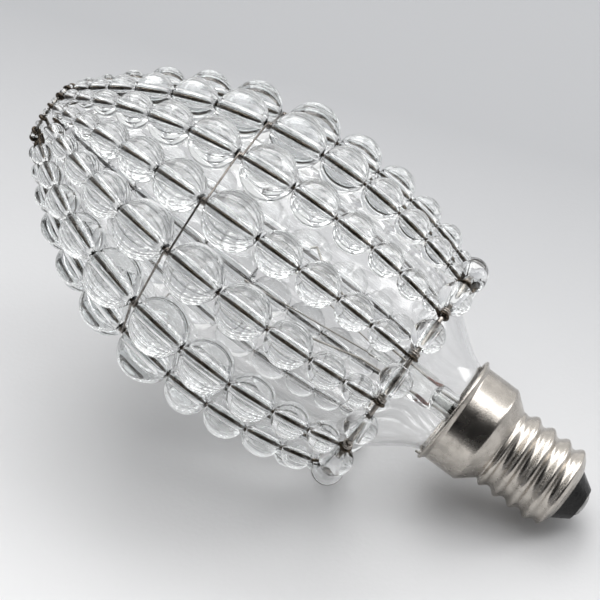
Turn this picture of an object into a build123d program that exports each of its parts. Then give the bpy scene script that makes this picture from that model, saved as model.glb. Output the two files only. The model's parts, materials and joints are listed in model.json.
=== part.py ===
# Glass bead cover for a small candle bulb, shown slipped over its clear bulb.
# Frame: Z is the axis of the bulb, the solder contact of the screw cap touches Z = 0
# and the tip of the bulb points up. All sizes are in millimetres.

import os
from math import asin, cos, degrees, pi, radians, sin, sqrt

from build123d import *

os.makedirs("parts", exist_ok=True)

# Screw cap of the bulb: 14 mm thread, with a skirt and a rolled rim
CAP_HEIGHT = 25.0  # from the solder contact to the rim
RIM_DIAMETER = 18.0
RIM_ROLL = 0.9  # height of the rolled rim
SKIRT_DIAMETER = 16.8
SKIRT_LENGTH = 6.4
CAP_WALL = 0.3
THREAD_CREST_DIAMETER = 13.9
THREAD_ROOT_DIAMETER = 12.3
THREAD_PITCH = 2.82
THREAD_TOP = 15.2  # height of the last crest under the neck
THREAD_BOTTOM = 4.9
SHELL_END = 3.4  # lower edge of the metal shell, curled in round the insulator
SHELL_END_DIAMETER = 9.6
NECK_STEP = 0.7  # straight neck between the thread and the slope up to the skirt
END_CURL = 0.7  # height of the curl at the lower edge
SHEET_BEND = 0.25  # radius of the sheet's bends

# Insulator and solder contact at the foot of the cap
INSULATOR_TIP_DIAMETER = 5.6
INSULATOR_TIP = 0.75
INSULATOR_SEAT = 5.6  # top of the insulator inside the shell
CONTACT_DIAMETER = 4.2
CONTACT_STEM_DIAMETER = 1.6
EYELET_DEPTH = 2.6
EYELET_SOLDER = 0.4  # solder between the end of the lead and the face of the insulator

# Blown glass envelope, a candle shape
GLASS_WIDEST_DIAMETER = 35.0
GLASS_WIDEST_HEIGHT = 55.0
GLASS_SHOULDER_DIAMETER = 33.8  # level with the first beads below the tie wire
GLASS_SHOULDER_HEIGHT = 67.4
GLASS_UPPER_DIAMETER = 23.4  # where the glass begins to close towards its tip
GLASS_UPPER_HEIGHT = 85.0
GLASS_TIP_HEIGHT = 98.6
GLASS_NECK_DIAMETER = 15.2
GLASS_THROAT_DIAMETER = 25.4  # just above the cap, where the glass swells
GLASS_THROAT_HEIGHT = 32.6
GLASS_WALL = 0.7
NECK_BOTTOM = 19.6
NECK_BELOW_RIM = 1.6  # the glass begins to swell this far below the rim of the cap
CEMENT_ABOVE_NECK_END = 0.3
CEMENT_BELOW_NECK_TOP = 0.2

# Glass mount inside the envelope
STEM_TUBE_DIAMETER = 4.6
STEM_TUBE_WALL = 0.6
STEM_FLARE_LENGTH = 5.4
PRESS_TOP = 35.6
PRESS_BOTTOM = 28.6
PRESS_WIDTH = 5.4
PRESS_THICKNESS = 2.6
BUTTON_TOP = 41.0
BUTTON_DIAMETER = 2.2
EXHAUST_DIAMETER = 1.9
EXHAUST_WALL = 0.4
EXHAUST_LENGTH = 12.0

# Wires and filament inside the envelope
LEAD_DIAMETER = 0.36
LEAD_ANGLE = 47.0  # plane that the two leads lie in
LEAD_SPREAD = 7.6  # distance of the hooks from the axis
LEAD_TOP = 57.0
LEAD_INSIDE_STEM = 1.32  # distance of each lead from the axis beside the exhaust tube
LEAD_SPLAY_PRESS = 0.5  # how much further out the leads leave the press
LEAD_SPLAY_BUTTON = 0.9  # and pass the button
LEAD_BEND = 0.3  # radius of their bends
HOOK = 0.8  # width and height of the hooks that grip the filament
LEAD_BELOW_EXHAUST = 1.0  # straight run of the contact's lead below the exhaust tube
LEAD_ABOVE_EYELET = 4.0  # straight run of that lead above the eyelet
LEAD_IN_FLARE = 1.9  # where the shell's lead turns outwards, above the end of the neck
LEAD_ROUND_NECK = 0.65  # how far inside the gap between neck and skirt it bends up
LEAD_BELOW_NECK = 0.8  # lowest point of that bend under the neck
LEAD_RISE = 0.5  # where it runs straight up again, under the neck
SUPPORT_DIAMETER = 0.24
SUPPORT_SPREAD = 3.2
SUPPORT_TOP = 62.0
SUPPORT_IN_BUTTON = 1.5  # depth of the supports below the top of the button
SUPPORT_PLAY = 0.03  # between the support's eye and the filament
FILAMENT_DIAMETER = 0.45
FILAMENT_SHOULDER = 1.0  # the filament stays level this far outside the supports
LEAD_OFF_RIM = 0.3  # the lead that is soldered to the rim stands this far off its inner face
LEAD_TAIL = 0.9  # and rises this far above the rim
SOLDER_DIAMETER = 1.4

# Cover: ribs of beads on steel wire, between a base ring and a tip ring
WIDE_STEP = 30.0  # degrees between two neighbours that are strung with large beads
FIRST_RIB_ANGLE = 0.0
RIB_WIRE_DIAMETER = 0.52
JOINT_GAP = 0.16  # play between two beads on a rib
JOINT_BEND_RADIUS = 0.7
TURN_PLAY = 0.02  # between a wire and the turns of finer wire round it
TURN_SHARE = 0.9  # step of those turns as a share of their wire

# The meridian that the rib wires follow is two tangent arcs, joined at the tie wire
SEAT_CLEARANCE = 0.35  # between the largest beads and the glass
TIE_LEAN = 12.5  # degrees that the wire leans in where it is tied
UPPER_ARC = 60.0
LOWER_ARC = 69.0

# Bead diameters, counted from the tie wire outwards
BEADS_UP_SMALL = (8.0, 7.0, 5.9, 4.3, 3.2, 2.7)
BEADS_UP_LARGE = (9.2, 7.2, 5.5, 4.3, 3.4)
BEADS_DOWN_SMALL = (8.7, 7.4, 6.4, 5.4, 4.8, 2.6)
BEADS_DOWN_PLAIN = (9.2, 7.1, 6.8, 5.9, 4.9)
BEADS_DOWN_LARGE = (9.2, 8.5, 7.3, 5.7, 4.9)
BORE_SHARE = 0.15  # bore as a share of the bead
BORE_LEAST = 0.9

# Which beads each rib has, one letter a rib, clockwise round the cover as seen from the tip:
# S is six beads above the tie and six below, P is six and five, L is five large and five
RIB_PLAN = "SSPLLPSSSPLLPS"
RIB_COUNT = len(RIB_PLAN)

# Base ring and tip ring
BASE_STUB = 1.2  # bare wire from the last bead of the longest rib to the ring
BASE_WIRE_DIAMETER = 0.76
BASE_EYE_DIAMETER = 2.0
BASE_BEAD_DIAMETER = 5.2
TIP_STUB = 1.3
TIP_WIRE_DIAMETER = 0.4
TIP_EYE_DIAMETER = 1.5
TIP_BEAD_DIAMETER = 1.3
TIP_BORE = 0.56
EYE_TURN = 300.0  # degrees that an eye is bent round its ring
WRAP_WIRE_DIAMETER = 0.4
WRAP_TURNS = 2
WRAP_OFF_EYE = 0.1  # between the eye and the first turn beside it

# Tie wire round the ribs
TIE_WIRE_DIAMETER = 0.34
TIE_TURNS = 2
TIE_GAP = 0.9  # space that the turns leave between the two beads at the tie

# The tie wire lies so that the first beads below it clear the shoulder of the glass
FIRST_DOWN = max(BEADS_DOWN_SMALL[0], BEADS_DOWN_PLAIN[0], BEADS_DOWN_LARGE[0])
FIRST_RUN = (TIE_GAP + JOINT_GAP + FIRST_DOWN) / 2
FIRST_LEAN = radians(TIE_LEAN) - FIRST_RUN / LOWER_ARC
TIE_DRAW = LOWER_ARC * (cos(FIRST_LEAN) - cos(radians(TIE_LEAN)))
TIE_RISE = LOWER_ARC * (sin(radians(TIE_LEAN)) - sin(FIRST_LEAN))
TIE_RADIUS = GLASS_SHOULDER_DIAMETER / 2 + SEAT_CLEARANCE + FIRST_DOWN / 2 - TIE_DRAW
TIE_HEIGHT = GLASS_SHOULDER_HEIGHT + TIE_RISE


def save(part, name):
    """Label one finished piece and write it to its own file."""
    part.label = name
    export_step(part, f"parts/{name}.step")
    print(name, "volume", round(part.volume, 3))


def meridian_point(run):
    """Radius and height at a run along the meridian, positive above the tie wire."""
    arc = UPPER_ARC if run > 0 else LOWER_ARC
    lean = radians(TIE_LEAN) + run / arc
    radius = TIE_RADIUS - arc * (cos(radians(TIE_LEAN)) - cos(lean))
    height = TIE_HEIGHT + arc * (sin(lean) - sin(radians(TIE_LEAN)))
    return radius, height


def bead_joints(beads, direction):
    """Runs of the joints between beads, walking away from the tie wire."""
    arc = UPPER_ARC if direction > 0 else LOWER_ARC
    run = direction * TIE_GAP / 2
    joints = [run]
    for diameter in beads:
        chord = diameter + JOINT_GAP
        run += direction * 2 * arc * asin(chord / (2 * arc))
        joints.append(run)
    return joints


def beads_of(plan):
    """Bead diameters above and below the tie wire for one letter of the rib plan."""
    above = BEADS_UP_LARGE if plan == "L" else BEADS_UP_SMALL
    below = {"S": BEADS_DOWN_SMALL, "P": BEADS_DOWN_PLAIN, "L": BEADS_DOWN_LARGE}[plan]
    return above, below


def rib_angles():
    """Angle of each rib: neighbours with large beads stand further apart."""
    wide = [RIB_PLAN[k] + RIB_PLAN[(k + 1) % RIB_COUNT] == "LL" for k in range(RIB_COUNT)]
    plain_step = (360 - WIDE_STEP * sum(wide)) / (RIB_COUNT - sum(wide))
    angles = [FIRST_RIB_ANGLE]
    for is_wide in wide[:-1]:
        angles.append(angles[-1] - (WIDE_STEP if is_wide else plain_step))
    return angles


def on_rib(radius, height, angle):
    """Point in space at a radius and a height on the plane of one rib."""
    return Vector(radius * cos(radians(angle)), radius * sin(radians(angle)), height)


def bore_of(diameter):
    """Diameter of the hole through a bead."""
    return max(BORE_LEAST, BORE_SHARE * diameter)


def drilled_bead(diameter, bore, plane):
    """Round bead with a straight hole, its centre on the plane and its hole along the normal."""
    with BuildPart(plane, mode=Mode.PRIVATE) as bead:
        Sphere(diameter / 2)
        Cylinder(bore / 2, diameter, mode=Mode.SUBTRACT)
    return bead.part


def wire_along(path, diameter):
    """Round wire swept along a path."""
    with BuildPart(mode=Mode.PRIVATE) as wire:
        with BuildSketch(Plane(origin=path @ 0, z_dir=path % 0)):
            Circle(diameter / 2)
        sweep(path=path)
    return wire.part


ANGLES = rib_angles()
PLANS = {letter: beads_of(letter) for letter in "SPL"}
TIP_RUN = max(bead_joints(above, 1)[-1] for above, below in PLANS.values()) + TIP_STUB
BASE_RUN = min(bead_joints(below, -1)[-1] for above, below in PLANS.values()) - BASE_STUB
TIP_RING_RADIUS, TIP_RING_HEIGHT = meridian_point(TIP_RUN)
BASE_RING_RADIUS, BASE_RING_HEIGHT = meridian_point(BASE_RUN)


def eye_arc(ring, joint, bend_radius, inward):
    """Tangent point and two further points of an eye round a ring wire, in the rib's plane.

    The straight wire from the last joint touches the eye's circle and runs on round the ring.
    """
    along = Vector(ring[0] - joint[0], ring[1] - joint[1])
    distance = along.length
    swing = degrees(asin(bend_radius / distance))
    side = 1 if inward else -1
    reach = sqrt(distance**2 - bend_radius**2)
    heading = along.normalized().rotate(Axis.Z, side * swing)
    touch = Vector(joint[0], joint[1]) + heading * reach
    centre = Vector(ring[0], ring[1])
    spoke = touch - centre
    middle = centre + spoke.rotate(Axis.Z, -side * EYE_TURN / 2)
    end = centre + spoke.rotate(Axis.Z, -side * EYE_TURN)
    return touch, middle, end


def rib_path(plan, angle):
    """Wire of one rib: straight through each bead, bent at the joints, an eye at each end."""
    above, below = PLANS[plan]
    upper = [meridian_point(run) for run in bead_joints(above, 1)]
    lower = [meridian_point(run) for run in bead_joints(below, -1)]
    tip_eye = (TIP_EYE_DIAMETER - RIB_WIRE_DIAMETER) / 2
    base_eye = (BASE_EYE_DIAMETER - RIB_WIRE_DIAMETER) / 2
    tip = eye_arc((TIP_RING_RADIUS, TIP_RING_HEIGHT), upper[-1], tip_eye, True)
    base = eye_arc((BASE_RING_RADIUS, BASE_RING_HEIGHT), lower[-1], base_eye, False)
    tie = ((upper[0][0] + lower[0][0]) / 2, (upper[0][1] + lower[0][1]) / 2)
    corners = [(tip[0].X, tip[0].Y), *reversed(upper[1:]), tie, *lower[1:], (base[0].X, base[0].Y)]
    with BuildLine(mode=Mode.PRIVATE) as path:
        ThreePointArc(*[on_rib(p.X, p.Y, angle) for p in reversed(tip)])
        FilletPolyline(*[on_rib(r, z, angle) for r, z in corners], radius=JOINT_BEND_RADIUS)
        ThreePointArc(*[on_rib(p.X, p.Y, angle) for p in base])
    return path.wire()


def rib_beads(plan, angle):
    """Beads of one rib, each centred on the straight wire between its two joints."""
    above, below = PLANS[plan]
    made = []
    for beads, direction in ((above, 1), (below, -1)):
        joints = [meridian_point(run) for run in bead_joints(beads, direction)]
        for diameter, near, far in zip(beads, joints, joints[1:]):
            start = on_rib(*near, angle)
            end = on_rib(*far, angle)
            plane = Plane(origin=(start + end) / 2, z_dir=end - start)
            made.append(drilled_bead(diameter, bore_of(diameter), plane))
    return made


for number, (plan, angle) in enumerate(zip(RIB_PLAN, ANGLES), start=1):
    with BuildPart() as rib_wire:
        add(wire_along(rib_path(plan, angle), RIB_WIRE_DIAMETER))
    save(rib_wire.part, f"rib_wire_{number:02d}")

    with BuildPart() as rib_bead_row:
        add(rib_beads(plan, angle))
    save(rib_bead_row.part, f"rib_beads_{number:02d}")


def middle_angles():
    """Angles half way between each rib and the next."""
    following = ANGLES[1:] + [ANGLES[0] - 360]
    return [(here + there) / 2 for here, there in zip(ANGLES, following)]


def ring_beads(radius, height, diameter, bore):
    """Beads threaded on a ring wire, one between each two ribs."""
    made = []
    for angle in middle_angles():
        around = on_rib(radius, 0, angle + 90)
        plane = Plane(origin=on_rib(radius, height, angle), z_dir=around)
        made.append(drilled_bead(diameter, bore, plane))
    return made


# Base ring, the wide mouth of the cover
with BuildPart(Plane.XY.offset(BASE_RING_HEIGHT)) as base_ring_wire:
    Torus(BASE_RING_RADIUS, BASE_WIRE_DIAMETER / 2)
save(base_ring_wire.part, "base_ring_wire")

with BuildPart() as base_ring_beads:
    base_bore = bore_of(BASE_BEAD_DIAMETER) + BASE_WIRE_DIAMETER / 2
    add(ring_beads(BASE_RING_RADIUS, BASE_RING_HEIGHT, BASE_BEAD_DIAMETER, base_bore))
save(base_ring_beads.part, "base_ring_beads")

# Tip ring, which gathers the ribs round the tip of the bulb
with BuildPart(Plane.XY.offset(TIP_RING_HEIGHT)) as tip_ring_wire:
    Torus(TIP_RING_RADIUS, TIP_WIRE_DIAMETER / 2)
save(tip_ring_wire.part, "tip_ring_wire")

with BuildPart() as tip_ring_beads:
    add(ring_beads(TIP_RING_RADIUS, TIP_RING_HEIGHT, TIP_BEAD_DIAMETER, TIP_BORE))
save(tip_ring_beads.part, "tip_ring_beads")

# Turns of fine wire beside each eye, which keep the ring beads apart from the ribs
WRAP_RADIUS = (BASE_WIRE_DIAMETER + WRAP_WIRE_DIAMETER) / 2 + TURN_PLAY
WRAP_STEP = TURN_SHARE * WRAP_WIRE_DIAMETER
WRAP_OFFSET = RIB_WIRE_DIAMETER / 2 + WRAP_WIRE_DIAMETER / 2 + WRAP_OFF_EYE
with BuildPart() as ring_wraps:
    for angle in ANGLES:
        for turn in range(WRAP_TURNS):
            shift = degrees((WRAP_OFFSET + turn * WRAP_STEP) / BASE_RING_RADIUS)
            place = on_rib(BASE_RING_RADIUS, BASE_RING_HEIGHT, angle + shift)
            turn_axis = on_rib(1, 0, angle + shift + 90)
            with Locations(Plane(origin=place, z_dir=turn_axis)):
                Torus(WRAP_RADIUS, WRAP_WIRE_DIAMETER / 2)
save(ring_wraps.part, "ring_wraps")

# Tie wire: straight spans from rib to rib, with turns round each rib wire
TURN_RADIUS = (RIB_WIRE_DIAMETER + TIE_WIRE_DIAMETER) / 2 + TURN_PLAY
TURN_STEP = TURN_SHARE * TIE_WIRE_DIAMETER
with BuildPart() as tie_wire:
    lean = radians(TIE_LEAN)
    for angle in ANGLES:
        up_rib = on_rib(-sin(lean), cos(lean), angle)
        for turn in range(TIE_TURNS):
            rise = (turn - (TIE_TURNS - 1) / 2) * TURN_STEP
            place = on_rib(TIE_RADIUS, TIE_HEIGHT, angle) + up_rib * rise
            with Locations(Plane(origin=place, z_dir=up_rib)):
                Torus(TURN_RADIUS, TIE_WIRE_DIAMETER / 2)
    for angle, next_angle in zip(ANGLES, ANGLES[1:] + [ANGLES[0] - 360]):
        start = on_rib(TIE_RADIUS, TIE_HEIGHT, angle)
        end = on_rib(TIE_RADIUS, TIE_HEIGHT, next_angle)
        across = (end - start).normalized()
        with BuildSketch(Plane(origin=start + across * TURN_RADIUS, z_dir=across)):
            Circle(TIE_WIRE_DIAMETER / 2)
        extrude(amount=(end - start).length - 2 * TURN_RADIUS)
save(tie_wire.part, "tie_wire")

# Metal shell of the screw cap, pressed from sheet, with a rolled rim and a rolled thread
ROOT_RADIUS = THREAD_ROOT_DIAMETER / 2
SKIRT_RADIUS = SKIRT_DIAMETER / 2
SKIRT_BOTTOM = CAP_HEIGHT - SKIRT_LENGTH
RIM_FLARE = CAP_HEIGHT - RIM_ROLL
RIDGE_RADIUS = (THREAD_CREST_DIAMETER - THREAD_ROOT_DIAMETER) / 2
CURL_TOP = SHELL_END + END_CURL + CAP_WALL
HALF_WALL = CAP_WALL / 2
FLARE_FOOT = Vector(SKIRT_RADIUS - HALF_WALL, RIM_FLARE)
FLARE_EDGE = Vector(RIM_DIAMETER / 2 - HALF_WALL, CAP_HEIGHT - HALF_WALL)

with BuildSketch(Plane.XZ, mode=Mode.PRIVATE) as shell_section:
    with BuildLine():
        FilletPolyline(
            (SHELL_END_DIAMETER / 2 - HALF_WALL, SHELL_END + HALF_WALL),
            (ROOT_RADIUS - HALF_WALL, SHELL_END + HALF_WALL + END_CURL),
            (ROOT_RADIUS - HALF_WALL, THREAD_TOP + NECK_STEP),
            (SKIRT_RADIUS - HALF_WALL, SKIRT_BOTTOM),
            (FLARE_FOOT.X, FLARE_FOOT.Y),
            (FLARE_EDGE.X, FLARE_EDGE.Y),
            radius=SHEET_BEND,
        )
        offset(amount=HALF_WALL, side=Side.BOTH)
    make_face()


def thread_ridge(radius, inset):
    """Round ridge along the thread's helix, held short of both ends by an inset."""
    height = THREAD_TOP - THREAD_BOTTOM - 2 * inset
    helix = Helix(THREAD_PITCH, height, ROOT_RADIUS, center=(0, 0, THREAD_BOTTOM + inset))
    with BuildPart(mode=Mode.PRIVATE) as ridge:
        with BuildSketch(Plane(origin=helix @ 0, z_dir=helix % 0)):
            Circle(radius)
        sweep(path=helix, is_frenet=True)
    return ridge.part.rotate(Axis.Z, 360 * inset / THREAD_PITCH)


with BuildPart() as outer_ridge:
    add(thread_ridge(RIDGE_RADIUS, 0))
    with BuildSketch():
        Circle(ROOT_RADIUS - HALF_WALL)
    extrude(amount=CAP_HEIGHT, mode=Mode.SUBTRACT)

with BuildPart() as cap_shell:
    revolve(shell_section.sketch, axis=Axis.Z)
    add(outer_ridge.part)
    add(thread_ridge(RIDGE_RADIUS - CAP_WALL, CAP_WALL), mode=Mode.SUBTRACT)
save(cap_shell.part, "cap_shell")

# Solder contact with the stem of its eyelet
CONTACT_RADIUS = CONTACT_DIAMETER / 2
EYELET_RADIUS = CONTACT_STEM_DIAMETER / 2
EYELET_TOP = INSULATOR_TIP + EYELET_DEPTH
LEAD_END = INSULATOR_TIP + EYELET_SOLDER
with BuildPart() as centre_contact:
    with BuildSketch(Plane.XZ):
        with BuildLine():
            dome = ThreePointArc(
                (0, 0),
                (CONTACT_RADIUS * sin(pi / 4), INSULATOR_TIP * (1 - cos(pi / 4))),
                (CONTACT_RADIUS, INSULATOR_TIP),
            )
            Polyline(
                dome @ 1,
                (EYELET_RADIUS, INSULATOR_TIP),
                (EYELET_RADIUS, EYELET_TOP),
                (LEAD_DIAMETER / 2, EYELET_TOP),
                (LEAD_DIAMETER / 2, LEAD_END),
                (0, LEAD_END),
                (0, 0),
            )
        make_face()
    revolve(axis=Axis.Z)
save(centre_contact.part, "centre_contact")

# Black glass insulator, cast into the lower end of the shell
with BuildPart() as cap_insulator:
    with BuildSketch(Plane.XZ):
        with BuildLine():
            Polyline(
                (EYELET_RADIUS, INSULATOR_TIP),
                (INSULATOR_TIP_DIAMETER / 2, INSULATOR_TIP),
                (SHELL_END_DIAMETER / 2 - CAP_WALL, SHELL_END),
                (SHELL_END_DIAMETER / 2 - CAP_WALL, SHELL_END + CAP_WALL),
                (ROOT_RADIUS - CAP_WALL, CURL_TOP),
                (ROOT_RADIUS - CAP_WALL, INSULATOR_SEAT),
                (EYELET_RADIUS, EYELET_TOP),
                close=True,
            )
        make_face()
    revolve(axis=Axis.Z)
    add(cap_shell.part, mode=Mode.SUBTRACT)
save(cap_insulator.part, "cap_insulator")

# Blown glass envelope: a neck in the cap, a swelling body and a candle tip
NECK_RADIUS = GLASS_NECK_DIAMETER / 2
NECK_TOP = CAP_HEIGHT - NECK_BELOW_RIM
TIP_ROUNDNESS = 1.0


def envelope_face(inset):
    """Half section of the envelope, drawn in from the outside by an inset."""
    tip_height = GLASS_TIP_HEIGHT - inset
    with BuildSketch(Plane.XZ, mode=Mode.PRIVATE) as section:
        with BuildLine():
            neck = Line((NECK_RADIUS - inset, NECK_BOTTOM), (NECK_RADIUS - inset, NECK_TOP))
            body = Spline(
                neck @ 1,
                (GLASS_THROAT_DIAMETER / 2 - inset, GLASS_THROAT_HEIGHT),
                (GLASS_WIDEST_DIAMETER / 2 - inset, GLASS_WIDEST_HEIGHT),
                (GLASS_SHOULDER_DIAMETER / 2 - inset, GLASS_SHOULDER_HEIGHT),
                (GLASS_UPPER_DIAMETER / 2 - inset, GLASS_UPPER_HEIGHT),
                (0, tip_height),
                tangents=[(0, 1), (-1, 0)],
                tangent_scalars=[1.0, TIP_ROUNDNESS],
            )
            Polyline(body @ 1, (0, NECK_BOTTOM), neck @ 0)
        make_face()
    return section.sketch


with BuildPart() as bulb_glass:
    revolve(envelope_face(0), axis=Axis.Z)
    revolve(envelope_face(GLASS_WALL), axis=Axis.Z, mode=Mode.SUBTRACT)
save(bulb_glass.part, "bulb_glass")


def lead_point(across, height):
    """Point in the plane of the two leads."""
    return on_rib(across, height, LEAD_ANGLE)


def lead_wire(corners, diameter, bend):
    """Wire bent at its corners, in the plane of the two leads."""
    with BuildLine(mode=Mode.PRIVATE) as path:
        FilletPolyline(*[lead_point(x, z) for x, z in corners], radius=bend)
    return wire_along(path.wire(), diameter)


# Two leads: hooks that grip the filament, a straight run through the press, then the cap
SKIRT_GAP_MIDDLE = (NECK_RADIUS + SKIRT_RADIUS - CAP_WALL) / 2

# Beside the rim the shell's lead runs along the inner face of the flare
FLARE_SLOPE = (FLARE_EDGE - FLARE_FOOT).normalized()
FLARE_FACE = FLARE_SLOPE.rotate(Axis.Z, 90)
LEAD_ON_FLARE = FLARE_FOOT + FLARE_FACE * (HALF_WALL + LEAD_OFF_RIM)
LEAD_TURN = LEAD_ON_FLARE + FLARE_SLOPE * ((SKIRT_GAP_MIDDLE - LEAD_ON_FLARE.X) / FLARE_SLOPE.X)
LEAD_OUT = FLARE_EDGE + FLARE_FACE * (HALF_WALL + LEAD_OFF_RIM) + FLARE_SLOPE * LEAD_OFF_RIM


def lead_corners(side):
    """Corners that both leads share, from the hook down to the foot of the press."""
    return [
        (side * (LEAD_SPREAD - HOOK / 2), LEAD_TOP + HOOK / 2),
        (side * (LEAD_SPREAD + HOOK / 2), LEAD_TOP - HOOK / 2),
        (side * LEAD_SPREAD * 0.7, LEAD_TOP - 5 * HOOK),
        (side * (LEAD_INSIDE_STEM + LEAD_SPLAY_BUTTON), BUTTON_TOP),
        (side * (LEAD_INSIDE_STEM + LEAD_SPLAY_PRESS), PRESS_TOP),
        (side * LEAD_INSIDE_STEM, PRESS_BOTTOM),
    ]


EXHAUST_END = PRESS_BOTTOM - EXHAUST_LENGTH
to_contact = lead_corners(1) + [
    (LEAD_INSIDE_STEM, EXHAUST_END - LEAD_BELOW_EXHAUST),
    (0, EYELET_TOP + LEAD_ABOVE_EYELET),
    (0, LEAD_END),
]
to_shell = lead_corners(-1) + [
    (-LEAD_INSIDE_STEM, NECK_BOTTOM + LEAD_IN_FLARE),
    (-SKIRT_GAP_MIDDLE + LEAD_ROUND_NECK, NECK_BOTTOM - LEAD_BELOW_NECK),
    (-SKIRT_GAP_MIDDLE, NECK_BOTTOM - LEAD_RISE),
    (-LEAD_TURN.X, LEAD_TURN.Y),
    (-LEAD_OUT.X, LEAD_OUT.Y),
    (-LEAD_OUT.X, CAP_HEIGHT + LEAD_TAIL),
]
with BuildPart() as lead_to_contact:
    add(lead_wire(to_contact, LEAD_DIAMETER, LEAD_BEND))
save(lead_to_contact.part, "lead_to_contact")

with BuildPart() as lead_to_shell:
    add(lead_wire(to_shell, LEAD_DIAMETER, LEAD_BEND))
save(lead_to_shell.part, "lead_to_shell")

# Supports rise from the glass button and close in an eye round the filament
SUPPORT_EYE_RADIUS = (FILAMENT_DIAMETER + SUPPORT_DIAMETER) / 2 + SUPPORT_PLAY
SUPPORT_FOOT = BUTTON_TOP - SUPPORT_IN_BUTTON
with BuildPart() as filament_supports:
    for side in (-1, 1):
        foot = lead_point(side * BUTTON_DIAMETER / 4, SUPPORT_FOOT)
        top = lead_point(side * SUPPORT_SPREAD, SUPPORT_TOP - SUPPORT_EYE_RADIUS)
        rod = (top - foot).normalized()
        with BuildSketch(Plane(origin=foot, z_dir=rod)):
            Circle(SUPPORT_DIAMETER / 2)
        extrude(amount=(top - foot).length)
        eye_place = lead_point(side * SUPPORT_SPREAD, SUPPORT_TOP)
        with Locations(Plane(origin=eye_place, z_dir=lead_point(1, 0))):
            Torus(SUPPORT_EYE_RADIUS, SUPPORT_DIAMETER / 2)
save(filament_supports.part, "filament_supports")

# Coiled filament, from hook to hook over the two supports
FILAMENT_END = (LEAD_SPREAD - HOOK, LEAD_TOP)
filament_corners = [
    FILAMENT_END,
    (SUPPORT_SPREAD + FILAMENT_SHOULDER, SUPPORT_TOP),
    (-SUPPORT_SPREAD - FILAMENT_SHOULDER, SUPPORT_TOP),
    (-FILAMENT_END[0], FILAMENT_END[1]),
]
with BuildPart() as filament:
    add(lead_wire(filament_corners, FILAMENT_DIAMETER, LEAD_BEND))
save(filament.part, "filament")

# Glass mount: a flare sealed to the neck, a tube, the press round the leads and a button
FLARE_RADIUS = NECK_RADIUS - GLASS_WALL
TUBE_RADIUS = STEM_TUBE_DIAMETER / 2
FLARE_TOP = NECK_BOTTOM + STEM_FLARE_LENGTH
with BuildPart() as stem_glass:
    with BuildSketch(Plane.XZ):
        with BuildLine():
            outside = Spline(
                (FLARE_RADIUS, NECK_BOTTOM + STEM_TUBE_WALL),
                (TUBE_RADIUS, FLARE_TOP),
                tangents=[(-1, 0.25), (0, 1)],
            )
            inside = Spline(
                (TUBE_RADIUS - STEM_TUBE_WALL, FLARE_TOP),
                (FLARE_RADIUS, NECK_BOTTOM),
                tangents=[(0, -1), (1, -0.25)],
            )
            Polyline(
                outside @ 1,
                (TUBE_RADIUS, PRESS_BOTTOM),
                (TUBE_RADIUS - STEM_TUBE_WALL, PRESS_BOTTOM),
                inside @ 0,
            )
            Line(inside @ 1, outside @ 0)
        make_face()
    revolve(axis=Axis.Z)
    press_plane = Plane(origin=(0, 0, PRESS_BOTTOM), x_dir=lead_point(1, 0), z_dir=(0, 0, 1))
    with BuildSketch(press_plane):
        Circle(TUBE_RADIUS)
    with BuildSketch(press_plane.offset(PRESS_TOP - PRESS_BOTTOM)):
        RectangleRounded(PRESS_WIDTH, PRESS_THICKNESS, PRESS_THICKNESS / 2.1)
    loft()
    with BuildSketch(Plane.XY.offset(PRESS_TOP)):
        Circle(BUTTON_DIAMETER / 2 * 0.7)
    extrude(amount=BUTTON_TOP - PRESS_TOP)
    with Locations((0, 0, BUTTON_TOP - BUTTON_DIAMETER / 2)):
        Sphere(BUTTON_DIAMETER / 2)
    add(lead_to_contact.part, mode=Mode.SUBTRACT)
    add(lead_to_shell.part, mode=Mode.SUBTRACT)
    add(filament_supports.part, mode=Mode.SUBTRACT)
save(stem_glass.part, "stem_glass")

# Exhaust tube, drawn off and closed at its lower end
EXHAUST_RADIUS = EXHAUST_DIAMETER / 2
with BuildPart() as exhaust_tube:
    with BuildSketch(Plane.XY.offset(EXHAUST_END)):
        Circle(EXHAUST_RADIUS)
    extrude(amount=EXHAUST_LENGTH)
    fillet(exhaust_tube.edges().group_by(Axis.Z)[0], EXHAUST_RADIUS * 0.8)
    with BuildSketch(Plane.XY.offset(EXHAUST_END + 2 * EXHAUST_WALL)):
        Circle(EXHAUST_RADIUS - EXHAUST_WALL)
    extrude(amount=EXHAUST_LENGTH, mode=Mode.SUBTRACT)
save(exhaust_tube.part, "exhaust_tube")

# Cement between the neck of the glass and the skirt of the cap
CEMENT_BOTTOM = NECK_BOTTOM + CEMENT_ABOVE_NECK_END
CEMENT_TOP = NECK_TOP - CEMENT_BELOW_NECK_TOP
with BuildPart() as cap_cement:
    with BuildSketch(Plane.XY.offset(CEMENT_BOTTOM)):
        Circle(SKIRT_RADIUS - CAP_WALL)
        Circle(NECK_RADIUS, mode=Mode.SUBTRACT)
    extrude(amount=CEMENT_TOP - CEMENT_BOTTOM)
    add(lead_to_shell.part, mode=Mode.SUBTRACT)
save(cap_cement.part, "cap_cement")

# Drop of solder that joins one lead to the inner face of the rim
SOLDER_SEAT = (FLARE_FOOT + FLARE_EDGE) / 2 + FLARE_FACE * HALF_WALL
SOLDER_UP = lead_point(-FLARE_FACE.X, FLARE_FACE.Y)
SOLDER_PLACE = lead_point(-SOLDER_SEAT.X, SOLDER_SEAT.Y)
with BuildPart() as side_solder:
    with Locations(Plane(origin=SOLDER_PLACE, z_dir=SOLDER_UP)):
        Sphere(SOLDER_DIAMETER / 2, arc_size1=0, align=(Align.CENTER, Align.CENTER, Align.MIN))
    add(lead_to_shell.part, mode=Mode.SUBTRACT)
save(side_solder.part, "side_solder")
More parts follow.
